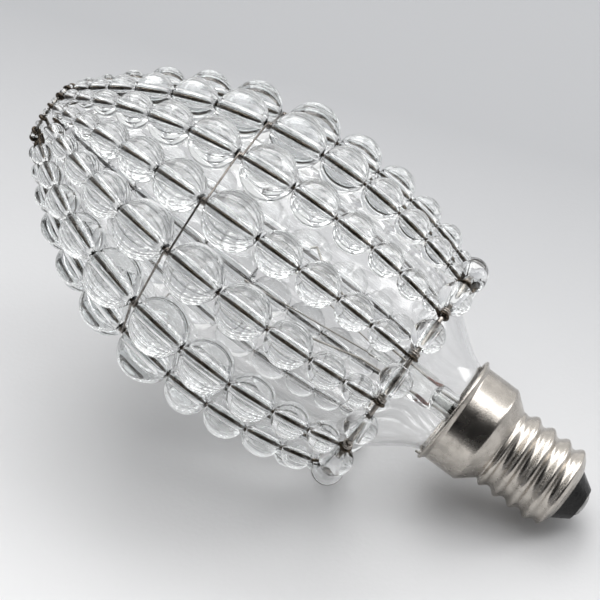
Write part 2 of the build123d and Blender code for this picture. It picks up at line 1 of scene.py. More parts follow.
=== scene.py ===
"""Glass bead cover slipped over a clear candle bulb, dressed over the packed solids.

Every surface is a grid of two parameters worked out with numpy. Z is the axis of the bulb, the solder
contact of its screw cap touches Z = 0, and the base ring, tip ring and tie wire lie level round that axis.
"""

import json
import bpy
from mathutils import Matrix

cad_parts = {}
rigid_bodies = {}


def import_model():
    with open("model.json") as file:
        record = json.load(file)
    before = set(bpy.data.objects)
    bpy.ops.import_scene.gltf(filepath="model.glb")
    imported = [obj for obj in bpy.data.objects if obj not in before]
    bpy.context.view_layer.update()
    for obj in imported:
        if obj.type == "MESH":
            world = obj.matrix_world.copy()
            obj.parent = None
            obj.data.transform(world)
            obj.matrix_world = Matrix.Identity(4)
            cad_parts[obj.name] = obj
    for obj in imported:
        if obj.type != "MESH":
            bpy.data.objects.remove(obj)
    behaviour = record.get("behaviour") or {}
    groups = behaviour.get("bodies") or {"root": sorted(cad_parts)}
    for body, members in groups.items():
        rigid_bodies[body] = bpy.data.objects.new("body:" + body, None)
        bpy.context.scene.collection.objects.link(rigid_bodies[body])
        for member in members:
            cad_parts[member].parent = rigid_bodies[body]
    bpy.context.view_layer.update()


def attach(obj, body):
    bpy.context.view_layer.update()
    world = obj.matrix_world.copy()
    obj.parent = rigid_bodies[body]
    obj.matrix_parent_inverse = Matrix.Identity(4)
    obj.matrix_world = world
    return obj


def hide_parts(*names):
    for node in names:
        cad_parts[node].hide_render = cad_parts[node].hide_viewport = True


bl_info = {
    "name": "Glass bead bulb cover",
    "version": (1, 0, 0),
    "blender": (4, 5, 0),
    "location": "3D View > Sidebar > Bulb Cover",
    "description": "Builds the glass beads, wires, bulb and screw cap of a bead bulb cover",
    "category": "Add Mesh",
}

import bmesh
import bpy
import numpy as np
from bpy.props import FloatProperty, FloatVectorProperty, PointerProperty
from mathutils import Matrix, Vector

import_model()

MM = 0.001

# One letter a rib, clockwise as seen from the tip: S is six beads above the tie wire and six below,
# P is six and five, L is five large and five
RIB_PLAN = "SSPLLPSSSPLLPS"
RIB_COUNT = len(RIB_PLAN)
HANDMADE = np.random.default_rng(7)  # small unevenness of handmade beads, the same in each run
SMOOTH_ANGLE = np.radians(38)

# Wires of the cover
GRIP_TURNS = 2  # turns of tie wire round each rib, and of fine wire beside each eye
TURN_PLAY = 0.02 * MM  # between a turn of wire and what it grips
TURN_SHARE = 0.9  # pitch of those turns, as a share of their wire
WRAP_OFF_EYE = 0.1 * MM  # between an eye and the fine turns beside it

# Bulb
COIL_TURNS = 64  # turns of the filament's coil
STEM_FLARE = 5.4 * MM  # height of the glass mount's flare
HOOK = 0.8 * MM  # end of a lead that holds the filament
LEAD_BEND = 0.3 * MM  # radius of the bends in the leads
LEAD_SPLAY = (0.5 * MM, 0.9 * MM)  # how far a lead has spread at the press top and at the button top
LEAD_PAST_EXHAUST = 1 * MM  # where the lead to the contact turns in, below the exhaust tube
LEAD_OVER_EYELET = 4 * MM  # where that lead meets the axis, above the eyelet
LEAD_IN_FLARE = 1.9 * MM  # where the lead to the rim turns out, above the neck's lower edge
LEAD_ROUND_NECK = 0.65 * MM  # how far inside the cement's middle that lead passes under the neck
LEAD_UNDER_NECK = (0.8 * MM, 0.5 * MM)  # how far below the neck it passes, and how far below it turns up
SHOULDER = 1 * MM  # from a support's eye out to where the filament bends down
SUPPORT_IN_BUTTON = 1.5 * MM  # how deep the supports are set in the glass button
SUPPORT_PLAY = 0.03 * MM  # between a support's eye and the filament

# Cap
SHEET_BEND = 0.5 * MM  # radius of the bends in the cap's sheet
THREAD_FADE = 0.45  # length over which the thread dies out, as a share of its pitch
THREAD_BELOW = 1.1 * MM  # where the thread starts, below its first crest
THREAD_ABOVE = 0.3 * MM  # where it ends, above the neck's straight part
RIM_BEAD = 0.28 * MM  # radius of the roll at the very edge of the cap's rim
INSULATOR_EDGE = 0.08 * MM  # rounding of the black glass
EYELET_SOLDER = 0.4 * MM  # height of the solder in the contact's eyelet
CEMENT_OFF_ENDS = (0.3 * MM, 0.2 * MM)  # cement above the neck's lower edge, and below its top
DOME_SHARE = 0.8  # height of the drop of solder as a share of its radius

# Stage, in metres
FLOOR_REACH = 1.2  # from the middle of the floor to its edges
CARD_DISTANCE, CARD_RADIUS = 0.8, 0.72  # of the dark card behind the camera


def linear(code):
    """Linear colour of an sRGB hex code."""
    srgb = np.array([int(code[k : k + 2], 16) for k in (1, 3, 5)]) / 255
    return tuple(np.where(srgb <= 0.04045, srgb / 12.92, ((srgb + 0.055) / 1.055) ** 2.4))


def size(name, millimetres, description):
    """Length property with its default in millimetres."""
    return FloatProperty(
        name=name, description=description, default=millimetres * MM, unit="LENGTH", precision=5
    )


def sizes(name, millimetres, description):
    """Row of length properties with their defaults in millimetres."""
    default = [value * MM for value in millimetres]
    return FloatVectorProperty(
        name=name, description=description, size=len(default), default=default, unit="LENGTH", precision=5
    )


def angle(name, degrees, description):
    """Angle property with its default in degrees."""
    return FloatProperty(name=name, description=description, default=np.radians(degrees), subtype="ANGLE")


def colour(name, code, description):
    """Colour property with its default as an sRGB hex code."""
    return FloatVectorProperty(
        name=name, description=description, size=3, default=linear(code), subtype="COLOR", min=0, max=1
    )


class BeadSizes(bpy.types.PropertyGroup):
    """Diameters of the beads, counted from the tie wire outwards."""

    up_small: sizes("Small beads above", (8.0, 7.0, 5.9, 4.3, 3.2, 2.7), "Above the tie wire, plain ribs")
    up_large: sizes("Large beads above", (9.2, 7.2, 5.5, 4.3, 3.4), "Above the tie wire, large beads")
    down_small: sizes("Six beads below", (8.7, 7.4, 6.4, 5.4, 4.8, 2.6), "Below the tie wire, six beads")
    down_plain: sizes("Five beads below", (9.2, 7.1, 6.8, 5.9, 4.9), "Below the tie wire, five beads")
    down_large: sizes("Large beads below", (9.2, 8.5, 7.3, 5.7, 4.9), "Below the tie wire, large beads")
    bore_share: FloatProperty(
        name="Bore share", description="Bore as a share of a bead", default=0.2, subtype="FACTOR"
    )
    bore_least: size("Least bore", 0.9, "Bore of the smallest rib beads")
    play: size("Play", 0.16, "Gap between two beads on a rib")
    base: size("Ring beads", 5.2, "Beads between the ribs on the base ring")
    tip: size("Seed beads", 1.3, "Beads between the ribs on the tip ring")
    tip_bore: size("Seed bead bore", 0.56, "Bore of the seed beads")
    unevenness: FloatProperty(
        name="Unevenness", description="Largest squash of a handmade bead", default=0.03, subtype="FACTOR"
    )


class WireSizes(bpy.types.PropertyGroup):
    """Wires of the cover and the meridian that they follow."""

    rib: size("Rib wire", 0.52, "Diameter of the rib wires")
    bend: size("Bend", 0.7, "Radius of a rib wire's bend between two beads")
    tie_lean: angle("Lean at the tie", 12.5, "Angle that a rib leans in at the tie wire")
    upper_arc: size("Upper arc", 60.0, "Radius of the meridian above the tie wire")
    lower_arc: size("Lower arc", 69.0, "Radius of the meridian below the tie wire")
    seat: size("Seat clearance", 0.35, "Between the largest beads and the glass")
    tie_gap: size("Tie gap", 0.9, "Room for the tie wire between two beads")
    wide_step: angle("Wide step", 30, "Angle between two neighbours with large beads")
    base_stub: size("Base stub", 1.2, "Bare wire from the last bead to the base ring")
    tip_stub: size("Tip stub", 1.3, "Bare wire from the last bead to the tip ring")
    base_eye: size("Base eye", 2.0, "Outside diameter of the eye round the base ring")
    tip_eye: size("Tip eye", 1.5, "Outside diameter of the eye round the tip ring")
    eye_turn: angle("Eye turn", 300, "How far an eye is bent round its ring")
    base: size("Base ring wire", 0.76, "Diameter of the base ring's wire")
    tip: size("Tip ring wire", 0.4, "Diameter of the tip ring's wire")
    wrap: size("Wrap wire", 0.4, "Diameter of the fine turns beside each base eye")
    tie: size("Tie wire", 0.34, "Diameter of the wire that ties the ribs together")


class BulbSizes(bpy.types.PropertyGroup):
    """Blown glass, the glass mount inside it and its wires."""

    outline_radius: sizes("Outline radii", (7.6, 12.7, 17.5, 16.9, 11.7), "From the neck to the upper body")
    outline_height: sizes("Outline heights", (23.4, 32.6, 55.0, 67.4, 85.0), "Heights of those radii")
    tip: size("Tip", 98.6, "Height of the glass tip")
    wall: size("Wall", 0.7, "Thickness of the glass")
    neck_bottom: size("Neck bottom", 19.6, "Lower edge of the neck, inside the cap")
    tube: size("Stem tube", 4.6, "Diameter of the tube of the mount")
    tube_wall: size("Stem tube wall", 0.6, "Wall of that tube")
    press_bottom: size("Press bottom", 28.6, "Where the tube is pressed flat round the leads")
    press_top: size("Press top", 35.6, "Upper end of the press")
    press_width: size("Press width", 5.4, "Width of the press")
    press_thickness: size("Press thickness", 2.6, "Thickness of the press")
    button: size("Button", 2.2, "Diameter of the glass button that holds the supports")
    button_top: size("Button top", 41.0, "Height of the button")
    exhaust: size("Exhaust tube", 1.9, "Diameter of the exhaust tube")
    exhaust_wall: size("Exhaust wall", 0.4, "Wall of the exhaust tube")
    exhaust_length: size("Exhaust length", 12.0, "Length of the exhaust tube below the press")
    lead: size("Leads", 0.36, "Diameter of the two leads")
    lead_angle: angle("Lead angle", 47, "Plane that the leads lie in")
    lead_spread: size("Lead spread", 7.6, "Distance of the hooks from the axis")
    lead_top: size("Lead top", 57.0, "Height of the hooks")
    lead_inside: size("Lead in the stem", 1.32, "Distance of a lead from the axis inside the stem")
    support: size("Supports", 0.24, "Diameter of the two filament supports")
    support_spread: size("Support spread", 3.2, "Distance of their eyes from the axis")
    support_top: size("Support top", 62.0, "Height of their eyes")
    coil: size("Filament coil", 0.45, "Outside diameter of the filament's coil")
    filament: size("Filament wire", 0.11, "Diameter of the wire that is coiled")


class CapSizes(bpy.types.PropertyGroup):
    """Screw cap of the bulb."""

    height: size("Height", 25.0, "From the solder contact to the rim")
    rim: size("Rim", 18.0, "Diameter of the flared rim")
    rim_roll: size("Rim roll", 0.9, "Height of the flare")
    skirt: size("Skirt", 16.8, "Diameter of the skirt")
    skirt_length: size("Skirt length", 6.4, "Length of the skirt with its rim")
    wall: size("Sheet", 0.3, "Thickness of the sheet metal")
    crest: size("Thread crest", 13.9, "Diameter over the thread's crests")
    root: size("Thread root", 12.3, "Diameter at the thread's root")
    pitch: size("Pitch", 2.82, "Pitch of the rolled thread")
    thread_top: size("Thread top", 15.2, "Height of the last crest under the neck")
    thread_bottom: size("Thread bottom", 4.9, "Height of the first crest")
    neck: size("Neck", 0.7, "Straight part between thread and slope")
    curl: size("Curl", 0.7, "Height of the curl at the lower edge")
    end: size("Shell end", 3.4, "Height of the lower edge")
    end_diameter: size("Shell end diameter", 9.6, "Diameter of the lower edge")
    insulator_tip: size("Insulator tip", 5.6, "Diameter of the black glass at its foot")
    insulator_foot: size("Insulator foot", 0.75, "Height of the foot of the black glass")
    insulator_seat: size("Insulator seat", 5.6, "Top of the black glass inside the shell")
    contact: size("Contact", 4.2, "Diameter of the solder contact")
    eyelet: size("Eyelet", 1.6, "Diameter of the contact's eyelet")
    eyelet_depth: size("Eyelet depth", 2.6, "Depth of the eyelet in the black glass")
    lead_off_rim: size("Lead off the rim", 0.3, "Distance of the lead from the flare's inner face")
    lead_tail: size("Lead tail", 0.9, "How far the cut lead stands above the rim")
    solder: size("Side solder", 1.4, "Diameter of the drop of solder at the rim")


class Finishes(bpy.types.PropertyGroup):
    """Colours of the materials, the rib wire's partly darkened by painted shade."""

    bead: colour("Bead glass", "#FBFCFC", "Clear pressed glass")
    bulb: colour("Bulb glass", "#FDFDFD", "Clear blown glass")
    stem: colour("Stem glass", "#FBFCFB", "Clear lead glass of the mount")
    bore: colour("Bore", "#F2F4F4", "Surface of a bore")
    # The rib wire's dark tint is partly the steel's own and partly painted shade, standing for the shade
    # inside the bores; that painted shade is why it is darker than the ring wire.
    steel: colour("Rib wire", "#50483F", "Dark drawn steel wire")
    ring: colour("Ring wire", "#A8A29B", "Thicker steel wire, brighter than the ribs")
    tie: colour("Tie wire", "#8F8983", "Thin annealed steel wire")
    nickel: colour("Cap", "#C6C0B8", "Nickel plated brass sheet")
    solder: colour("Solder", "#A9A8A6", "Tin solder")
    black_glass: colour("Insulator", "#050505", "Black glass")
    cement: colour("Cement", "#5A4836", "Baked resin cement")
    lead: colour("Leads", "#A5A19A", "Nickel wire")
    copper: colour("Seal", "#5F2F20", "Copper clad wire where the leads enter the press")
    tungsten: colour("Filament", "#5B5A5C", "Coiled tungsten wire")


class StageSettings(bpy.types.PropertyGroup):
    """Camera, lamps and backdrop."""

    lens: FloatProperty(name="Lens", description="Focal length", default=120, unit="CAMERA")
    distance: size("Camera distance", 308.1, "From the camera to the target")
    target: sizes("Target", (-0.39, -0.25, 53.79), "Point that the camera looks at")
    azimuth: angle("Camera azimuth", -57.6, "Direction of the camera round the bulb")
    elevation: angle("Camera elevation", -2.6, "Height of the camera as an angle")
    roll: angle("Roll", 53.44, "How far the bulb's tip is turned to the left")
    floor_tilt: angle("Height over the floor", 39.8, "Angle between the floor and the camera's line of sight")
    # Painted shade: the floor's colour darkens from the front colour to the colour behind across the span,
    # standing for the lamps' light falling off over the floor.
    floor: colour("Floor in front", "#F0F0F0", "Pale graded paper, nearest the camera")
    floor_behind_painted_shade: colour("Floor behind", "#AEAFB1", "The same paper, furthest from the camera")
    painted_shade_span: sizes("Floor grade", (-75, 90), "Where the grading starts and ends, from the target")
    surround: colour("Surround", "#E2E2E4", "Pale light from all round")
    studio: colour("Studio", "#8B8C8F", "Unlit side of the studio, in metal and glass")
    white_side: colour("White side", "#FDFDFD", "White side of the studio, in metal and glass")


def group(name):
    """One of the scene's property groups."""
    return getattr(bpy.context.scene, f"bead_cover_{name}")


# Finishes


def add_node(tree, kind, settings=None, values=None, links=None):
    """Add a node with its settings, its socket values and its incoming links."""
    made = tree.nodes.new(kind)
    for name, value in (settings or {}).items():
        setattr(made, name, value)
    for name, value in (values or {}).items():
        made.inputs[name].default_value = value
    for name, source in (links or {}).items():
        tree.links.new(source, made.inputs[name])
    return made


def new_finish(name, values):
    """Material with a principled shader, its tree and the object's own coordinates."""
    material = bpy.data.materials.new(name)
    material.use_nodes = True
    tree = material.node_tree
    tree.nodes.clear()
    shader = add_node(tree, "ShaderNodeBsdfPrincipled", values=values)
    add_node(tree, "ShaderNodeOutputMaterial", links={"Surface": shader.outputs["BSDF"]})
    place = add_node(tree, "ShaderNodeTexCoord").outputs["Object"]
    return material, tree, shader, place


def noise(tree, place, grain, detail=2.0, roughness=0.5):
    """Cloudy pattern with a grain in metres."""
    values = {"Scale": 1 / grain, "Detail": detail, "Roughness": roughness}
    return add_node(tree, "ShaderNodeTexNoise", values=values, links={"Vector": place}).outputs["Fac"]


def ramp(tree, factor, low, high, first, last):
    """Factor from low to high turned into a value or colour from first to last."""
    values = {"From Min": low, "From Max": high}
    if isinstance(first, float):
        values |= {"To Min": first, "To Max": last}
    made = add_node(tree, "ShaderNodeMapRange", values=values, links={"Value": factor})
    if isinstance(first, float):
        return made.outputs["Result"]
    mixed = add_node(tree, "ShaderNodeMix", {"data_type": "RGBA"}, links={"Factor": made.outputs["Result"]})
    mixed.inputs["A"].default_value = (*first, 1)
    mixed.inputs["B"].default_value = (*last, 1)
    return mixed.outputs["Result"]


def reach_along(tree, place, direction):
    """How far a place lies along a direction: P . direction."""
    made = add_node(tree, "ShaderNodeVectorMath", {"operation": "DOT_PRODUCT"}, links={"Vector": place})
    made.inputs[1].default_value = direction
    return made.outputs["Value"]


def bump(tree, shader, height, distance):
    """Bump of the shader's normal, its depth in metres."""
    made = add_node(tree, "ShaderNodeBump", values={"Distance": distance}, links={"Height": height})
    tree.links.new(made.outputs["Normal"], shader.inputs["Normal"])


def clear_glass(name, finish, values):
    """New finish of smooth clear glass in one of the finishes' colours."""
    tint = getattr(group("finishes"), finish)
    return new_finish(name, {"Base Color": (*tint, 1), "Transmission Weight": 1.0, **values})


def stretched(tree, place, share):
    """Coordinates that draw a pattern out along the bulb's axis, to 1 / share of its length."""
    values = {"Scale": (1.0, 1.0, share)}
    return add_node(tree, "ShaderNodeMapping", values=values, links={"Vector": place}).outputs["Vector"]


def lit_through(tree, shader, tint):
    """Let lamps shine through clear glass, dimmed by a tint at each surface, so that its shadow is pale."""
    clear = add_node(tree, "ShaderNodeBsdfTransparent", values={"Color": (*linear(tint), 1)})
    shadow = add_node(tree, "ShaderNodeLightPath").outputs["Is Shadow Ray"]
    mixed = add_node(tree, "ShaderNodeMixShader", links={"Fac": shadow})
    tree.links.new(shader.outputs["BSDF"], mixed.inputs[1])
    tree.links.new(clear.outputs["BSDF"], mixed.inputs[2])
    output = next(node for node in tree.nodes if node.type == "OUTPUT_MATERIAL")
    tree.links.new(mixed.outputs["Shader"], output.inputs["Surface"])


def pressed_bead_glass():
    """Pressed clear glass, fire polished: slightly wavy, so that its highlights waver."""
    values = {"Roughness": 0.0, "IOR": 1.52}
    material, tree, shader, place = clear_glass("pressed_bead_glass", "bead", values)
    bump(tree, shader, noise(tree, place, 3.5 * MM, detail=0.0), 0.02 * MM)
    lit_through(tree, shader, "#D2D2D2")
    return material


def drawn_bore():
    """Bore left by the pin that the glass was pressed round: clear, with fine lines that blur it a little.

    It bends light less than the bead does, so that the wire shows as wide as it does in the hand.
    """
    material, tree, shader, place = clear_glass("pin_drawn_bore_glass", "bore", {"IOR": 1.35})
    lines = noise(tree, place, 0.25 * MM)
    tree.links.new(ramp(tree, lines, 0.3, 0.7, 0.0, 0.06), shader.inputs["Roughness"])
    lit_through(tree, shader, "#FAFAFA")
    return material


def blown_bulb_glass():
    """Machine blown soda lime glass: a thin clear wall with long faint waves."""
    values = {"Roughness": 0.0, "IOR": 1.5}
    material, tree, shader, place = clear_glass("blown_bulb_glass", "bulb", values)
    bump(tree, shader, noise(tree, stretched(tree, place, 0.35), 9 * MM, detail=0.0), 0.02 * MM)
    lit_through(tree, shader, "#FAFAFA")
    return material


def drawn_stem_glass():
    """Lead glass, drawn and pressed while soft: clear with a faint cast and streaks along the stem."""
    values = {"Roughness": 0.0, "IOR": 1.56}
    material, tree, shader, place = clear_glass("drawn_stem_glass", "stem", values)
    bump(tree, shader, noise(tree, stretched(tree, place, 0.2), 1.1 * MM, detail=1.0), 0.08 * MM)
    lit_through(tree, shader, "#F4F4F4")
    return material


def drawn_wire(name, tint, dull, bright):
    """Drawn metal wire: a soft sheen, a little darker where the die's soap has stayed on."""
    material, tree, shader, place = new_finish(name, {"Metallic": 1.0})
    stains = noise(tree, place, 0.9 * MM, detail=3.0)
    dark = tuple(0.62 * part for part in tint)
    tree.links.new(ramp(tree, stains, 0.35, 0.65, dark, tuple(tint)), shader.inputs["Base Color"])
    tree.links.new(ramp(tree, stains, 0.35, 0.65, dull, bright), shader.inputs["Roughness"])
    bump(tree, shader, noise(tree, place, 0.12 * MM), 0.004 * MM)
    return material


def lead_wire_finish():
    """Nickel lead with a short copper clad length at the foot of the press, dark red under the glass."""
    finishes = group("finishes")
    bulb = group("bulb")
    values = {"Metallic": 1.0, "Roughness": 0.32}
    material, tree, shader, place = new_finish("lead_wire_with_copper_seal", values)
    height = add_node(tree, "ShaderNodeSeparateXYZ", links={"Vector": place}).outputs["Z"]
    edge, length = 0.4 * MM, 2.2 * MM
    low = ramp(tree, height, bulb.press_bottom - edge, bulb.press_bottom + edge, 0.0, 1.0)
    sealed_to = bulb.press_bottom + length
    high = ramp(tree, height, sealed_to, sealed_to + edge, 1.0, 0.0)
    sealed = add_node(tree, "ShaderNodeMath", {"operation": "MULTIPLY"})
    tree.links.new(low, sealed.inputs[0])
    tree.links.new(high, sealed.inputs[1])
    tint = ramp(tree, sealed.outputs["Value"], 0.0, 1.0, tuple(finishes.lead), tuple(finishes.copper))
    tree.links.new(tint, shader.inputs["Base Color"])
    bump(tree, shader, noise(tree, place, 0.2 * MM), 0.004 * MM)
    return material


def plated_cap_finish():
    """Brass sheet, rolled and nickel plated in a barrel: a satin sheen with soft clouds and fine scuffs."""
    tint = tuple(group("finishes").nickel)
    material, tree, shader, place = new_finish("nickel_plated_brass", {"Metallic": 1.0})
    clouds = noise(tree, place, 1.8 * MM, detail=3.0, roughness=0.6)
    scuffs = noise(tree, place, 0.22 * MM, detail=2.0)
    dark = tuple(0.74 * part for part in tint)
    tree.links.new(ramp(tree, clouds, 0.35, 0.68, dark, tint), shader.inputs["Base Color"])
    tree.links.new(ramp(tree, clouds, 0.3, 0.7, 0.32, 0.2), shader.inputs["Roughness"])
    bump(tree, shader, scuffs, 0.012 * MM)
    return material


def solder_finish():
    """Tin solder, frozen quickly: bright but crinkled."""
    tint = tuple(group("finishes").solder)
    material, tree, shader, place = new_finish("tin_solder", {"Metallic": 1.0})
    crinkle = noise(tree, place, 0.7 * MM, detail=4.0, roughness=0.6)
    dark = tuple(0.6 * part for part in tint)
    tree.links.new(ramp(tree, crinkle, 0.3, 0.7, dark, tint), shader.inputs["Base Color"])
    tree.links.new(ramp(tree, crinkle, 0.3, 0.7, 0.45, 0.25), shader.inputs["Roughness"])
    bump(tree, shader, crinkle, 0.09 * MM)
    return material


def black_glass_finish():
    """Black insulating glass, cast in place: glossy with shallow ripples and pits."""
    values = {"Base Color": (*group("finishes").black_glass, 1), "IOR": 1.52, "Specular IOR Level": 0.3}
    material, tree, shader, place = new_finish("black_insulator_glass", values)
    ripples = noise(tree, place, 1.4 * MM, detail=3.0)
    tree.links.new(ramp(tree, ripples, 0.3, 0.7, 0.16, 0.34), shader.inputs["Roughness"])
    bump(tree, shader, ripples, 0.1 * MM)
    return material


def cement_finish():
    """Baked resin cement: matt, grainy, browner where it has burnt."""
    tint = tuple(group("finishes").cement)
    material, tree, shader, place = new_finish("baked_cap_cement", {"IOR": 1.5})
    grains = noise(tree, place, 0.5 * MM, detail=5.0, roughness=0.65)
    dark = tuple(0.45 * part for part in tint)
    tree.links.new(ramp(tree, grains, 0.3, 0.7, dark, tint), shader.inputs["Base Color"])
    tree.links.new(ramp(tree, grains, 0.3, 0.7, 0.95, 0.7), shader.inputs["Roughness"])
    bump(tree, shader, grains, 0.08 * MM)
    return material


# Surfaces


def unit(vectors):
    """Vectors brought to length one."""
    vectors = np.asarray(vectors, float)
    return vectors / np.linalg.norm(vectors, axis=-1, keepdims=True)


def around(profile, centre, axis, steps, squash=1.0):
    """Surface of revolution: P(i, t) = centre + along_i axis + radius_i (cos t u + squash sin t w)."""
    axis = unit(axis)
    helper = (1.0, 0.0, 0.0) if abs(axis[2]) > 0.9 else (0.0, 0.0, 1.0)
    u = unit(np.cross(helper, axis))
    w = np.cross(axis, u)
    turn = np.linspace(0, 2 * np.pi, steps, endpoint=False)[:, None]
    ring = np.cos(turn) * u + squash * np.sin(turn) * w
    profile = np.asarray(profile)
    return centre + profile[:, None, 1:2] * axis + profile[:, None, 0:1] * ring


def tube(path, radius, sides, reference, closed=False):
    """Round wire: P(i, t) = path_i + radius (cos t a_i + sin t b_i), with a and b square to the path.

    The first of them is square to the reference direction too. An open wire gets a point at each end.
    """
    path = np.asarray(path, float)
    if closed:
        tangent = unit(np.roll(path, -1, axis=0) - np.roll(path, 1, axis=0))
    else:
        tangent = unit(np.gradient(path, axis=0))
    across = unit(np.cross(tangent, reference))
    above = np.cross(across, tangent)
    turn = np.linspace(0, 2 * np.pi, sides, endpoint=False)[None, :, None]
    rings = path[:, None] + radius * (np.cos(turn) * across[:, None] + np.sin(turn) * above[:, None])
    if closed:
        return rings
    ends = [np.repeat(path[k][None, None], sides, axis=1) for k in (0, -1)]
    return np.concatenate([ends[0], rings, ends[1]])


def grid_faces(rows, columns, wrap):
    """Quads of a grid that closes on itself across its columns and, where asked, across its rows."""
    row = np.arange(rows if wrap else rows - 1)[:, None]
    column = np.arange(columns)[None, :]
    next_row = (row + 1) % rows
    next_column = (column + 1) % columns
    corners = [row * columns + column, row * columns + next_column]
    corners += [next_row * columns + next_column, next_row * columns + column]
    return np.stack([np.broadcast_to(c, (len(row), columns)) for c in corners], axis=-1).reshape(-1, 4)


def outward(points, faces):
    """Faces turned round where the volume that they enclose comes out negative."""
    a, b, c, d = (points[faces[:, k]] for k in range(4))
    volume = np.einsum("ij,ij->", a, np.cross(b, c) + np.cross(c, d))
    return faces[:, ::-1] if volume < 0 else faces


def merged(grids):
    """Points, quads and finish numbers of several grids. A grid is (points, wrap, finish of each row)."""
    points, faces, finish, start = [], [], [], 0
    for grid, wrap, row_finish in grids:
        rows, columns = grid.shape[:2]
        flat = grid.reshape(-1, 3)
        quads = grid_faces(rows, columns, wrap)
        points.append(flat)
        faces.append(outward(flat, quads) + start)
        face_rows = len(quads) // columns
        finish.append(np.repeat(np.broadcast_to(row_finish, face_rows), columns))
        start += len(flat)
    return np.concatenate(points), np.concatenate(faces), np.concatenate(finish)


def close_poles(mesh):
    """Merge the points that share a place, such as those at a pole, and drop what is left without a face."""
    work = bmesh.new()
    work.from_mesh(mesh)
    bmesh.ops.remove_doubles(work, verts=work.verts, dist=0.0002 * MM)
    loose = [edge for edge in work.edges if not edge.link_faces]
    bmesh.ops.delete(work, geom=loose, context="EDGES")
    work.to_mesh(mesh)
    work.free()


def make_piece(name, grids, finishes, nodes):
    """Put grids into one smooth mesh, which rides on the cover's body and stands for its CAD nodes."""
    points, faces, finish = merged(grids)
    mesh = bpy.data.meshes.new(name)
    mesh.vertices.add(len(points))
    mesh.vertices.foreach_set("co", points.astype(np.float32).ravel())
    mesh.loops.add(faces.size)
    mesh.loops.foreach_set("vertex_index", faces.astype(np.int32).ravel())
    mesh.polygons.add(len(faces))
    mesh.polygons.foreach_set("loop_start", np.arange(0, faces.size, 4, dtype=np.int32))
    mesh.polygons.foreach_set("material_index", finish.astype(np.int32))
    mesh.update(calc_edges=True)
    for material in finishes:
        mesh.materials.append(material)
    close_poles(mesh)
    if mesh.validate() or not len(mesh.polygons):
        raise RuntimeError(f"the mesh of {name} is not sound")
    mesh.polygons.foreach_set("use_smooth", np.ones(len(mesh.polygons), bool))
    mesh.set_sharp_from_angle(angle=SMOOTH_ANGLE)
    piece = bpy.data.objects.new(name, mesh)
    bpy.context.scene.collection.objects.link(piece)
    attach(piece, "root")
    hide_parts(*nodes)
    return piece


# The cover's meridian


def bead_rows(letter):
    """Bead diameters above and below the tie wire for one letter of the rib plan."""
    beads = group("beads")
    above = beads.up_large if letter == "L" else beads.up_small
    below = {"S": beads.down_small, "P": beads.down_plain, "L": beads.down_large}[letter]
    return np.array(above), np.array(below)


def joint_runs(diameters, direction):
    """Runs of the joints between beads: each bead takes 2 A asin((bead + play) / 2 A) of an arc A."""
    wires = group("wires")
    arc = wires.upper_arc if direction > 0 else wires.lower_arc
    steps = 2 * arc * np.arcsin((diameters + group("beads").play) / (2 * arc))
    return direction * (wires.tie_gap / 2 + np.concatenate([[0], np.cumsum(steps)]))


def tie_place():
    """Radius and height of the tie wire, where the first beads below it clear the glass."""
    wires, bulb, beads = group("wires"), group("bulb"), group("beads")
    first = max(bead_rows(letter)[1][0] for letter in "SPL")
    run = (wires.tie_gap + beads.play + first) / 2
    lean = wires.tie_lean - run / wires.lower_arc
    draw = wires.lower_arc * (np.cos(lean) - np.cos(wires.tie_lean))
    rise = wires.lower_arc * (np.sin(wires.tie_lean) - np.sin(lean))
    shoulder = 3  # the outline's point beside those beads
    radius = bulb.outline_radius[shoulder] + wires.seat + first / 2 - draw
    return radius, bulb.outline_height[shoulder] + rise


def meridian(runs):
    """Radius and height at runs along two tangent arcs A: the lean is lean0 + run / A, and
    radius = r0 - A (cos lean0 - cos lean), height = z0 + A (sin lean - sin lean0)."""
    wires = group("wires")
    runs = np.asarray(runs, float)
    arc = np.where(runs > 0, wires.upper_arc, wires.lower_arc)
    lean = wires.tie_lean + runs / arc
    radius0, height0 = tie_place()
    radius = radius0 - arc * (np.cos(wires.tie_lean) - np.cos(lean))
    height = height0 + arc * (np.sin(lean) - np.sin(wires.tie_lean))
    return np.stack([radius, height], axis=-1)


def ring_places():
    """Radius and height of the tip ring and of the base ring."""
    wires = group("wires")
    tip_run = max(joint_runs(bead_rows(letter)[0], 1)[-1] for letter in "SL") + wires.tip_stub
    base_run = min(joint_runs(bead_rows(letter)[1], -1)[-1] for letter in "SPL") - wires.base_stub
    return meridian(tip_run), meridian(base_run)


def rib_angles():
    """Angle of each rib: neighbours with large beads stand further apart."""
    wide = np.array([RIB_PLAN[k] + RIB_PLAN[(k + 1) % RIB_COUNT] == "LL" for k in range(RIB_COUNT)])
    wide_step = group("wires").wide_step
    plain_step = (2 * np.pi - wide_step * wide.sum()) / (RIB_COUNT - wide.sum())
    steps = np.where(wide, wide_step, plain_step)
    return -np.concatenate([[0], np.cumsum(steps[:-1])])


def middle_angles():
    """Angles half way between each rib and the next."""
    angles = rib_angles()
    return (angles + np.append(angles[1:], angles[0] - 2 * np.pi)) / 2


def in_plane(points, angle):
    """Points given as radius and height, stood up in the plane at an angle round the axis."""
    points = np.asarray(points)
    return np.stack([points[..., 0] * np.cos(angle), points[..., 0] * np.sin(angle), points[..., 1]], axis=-1)


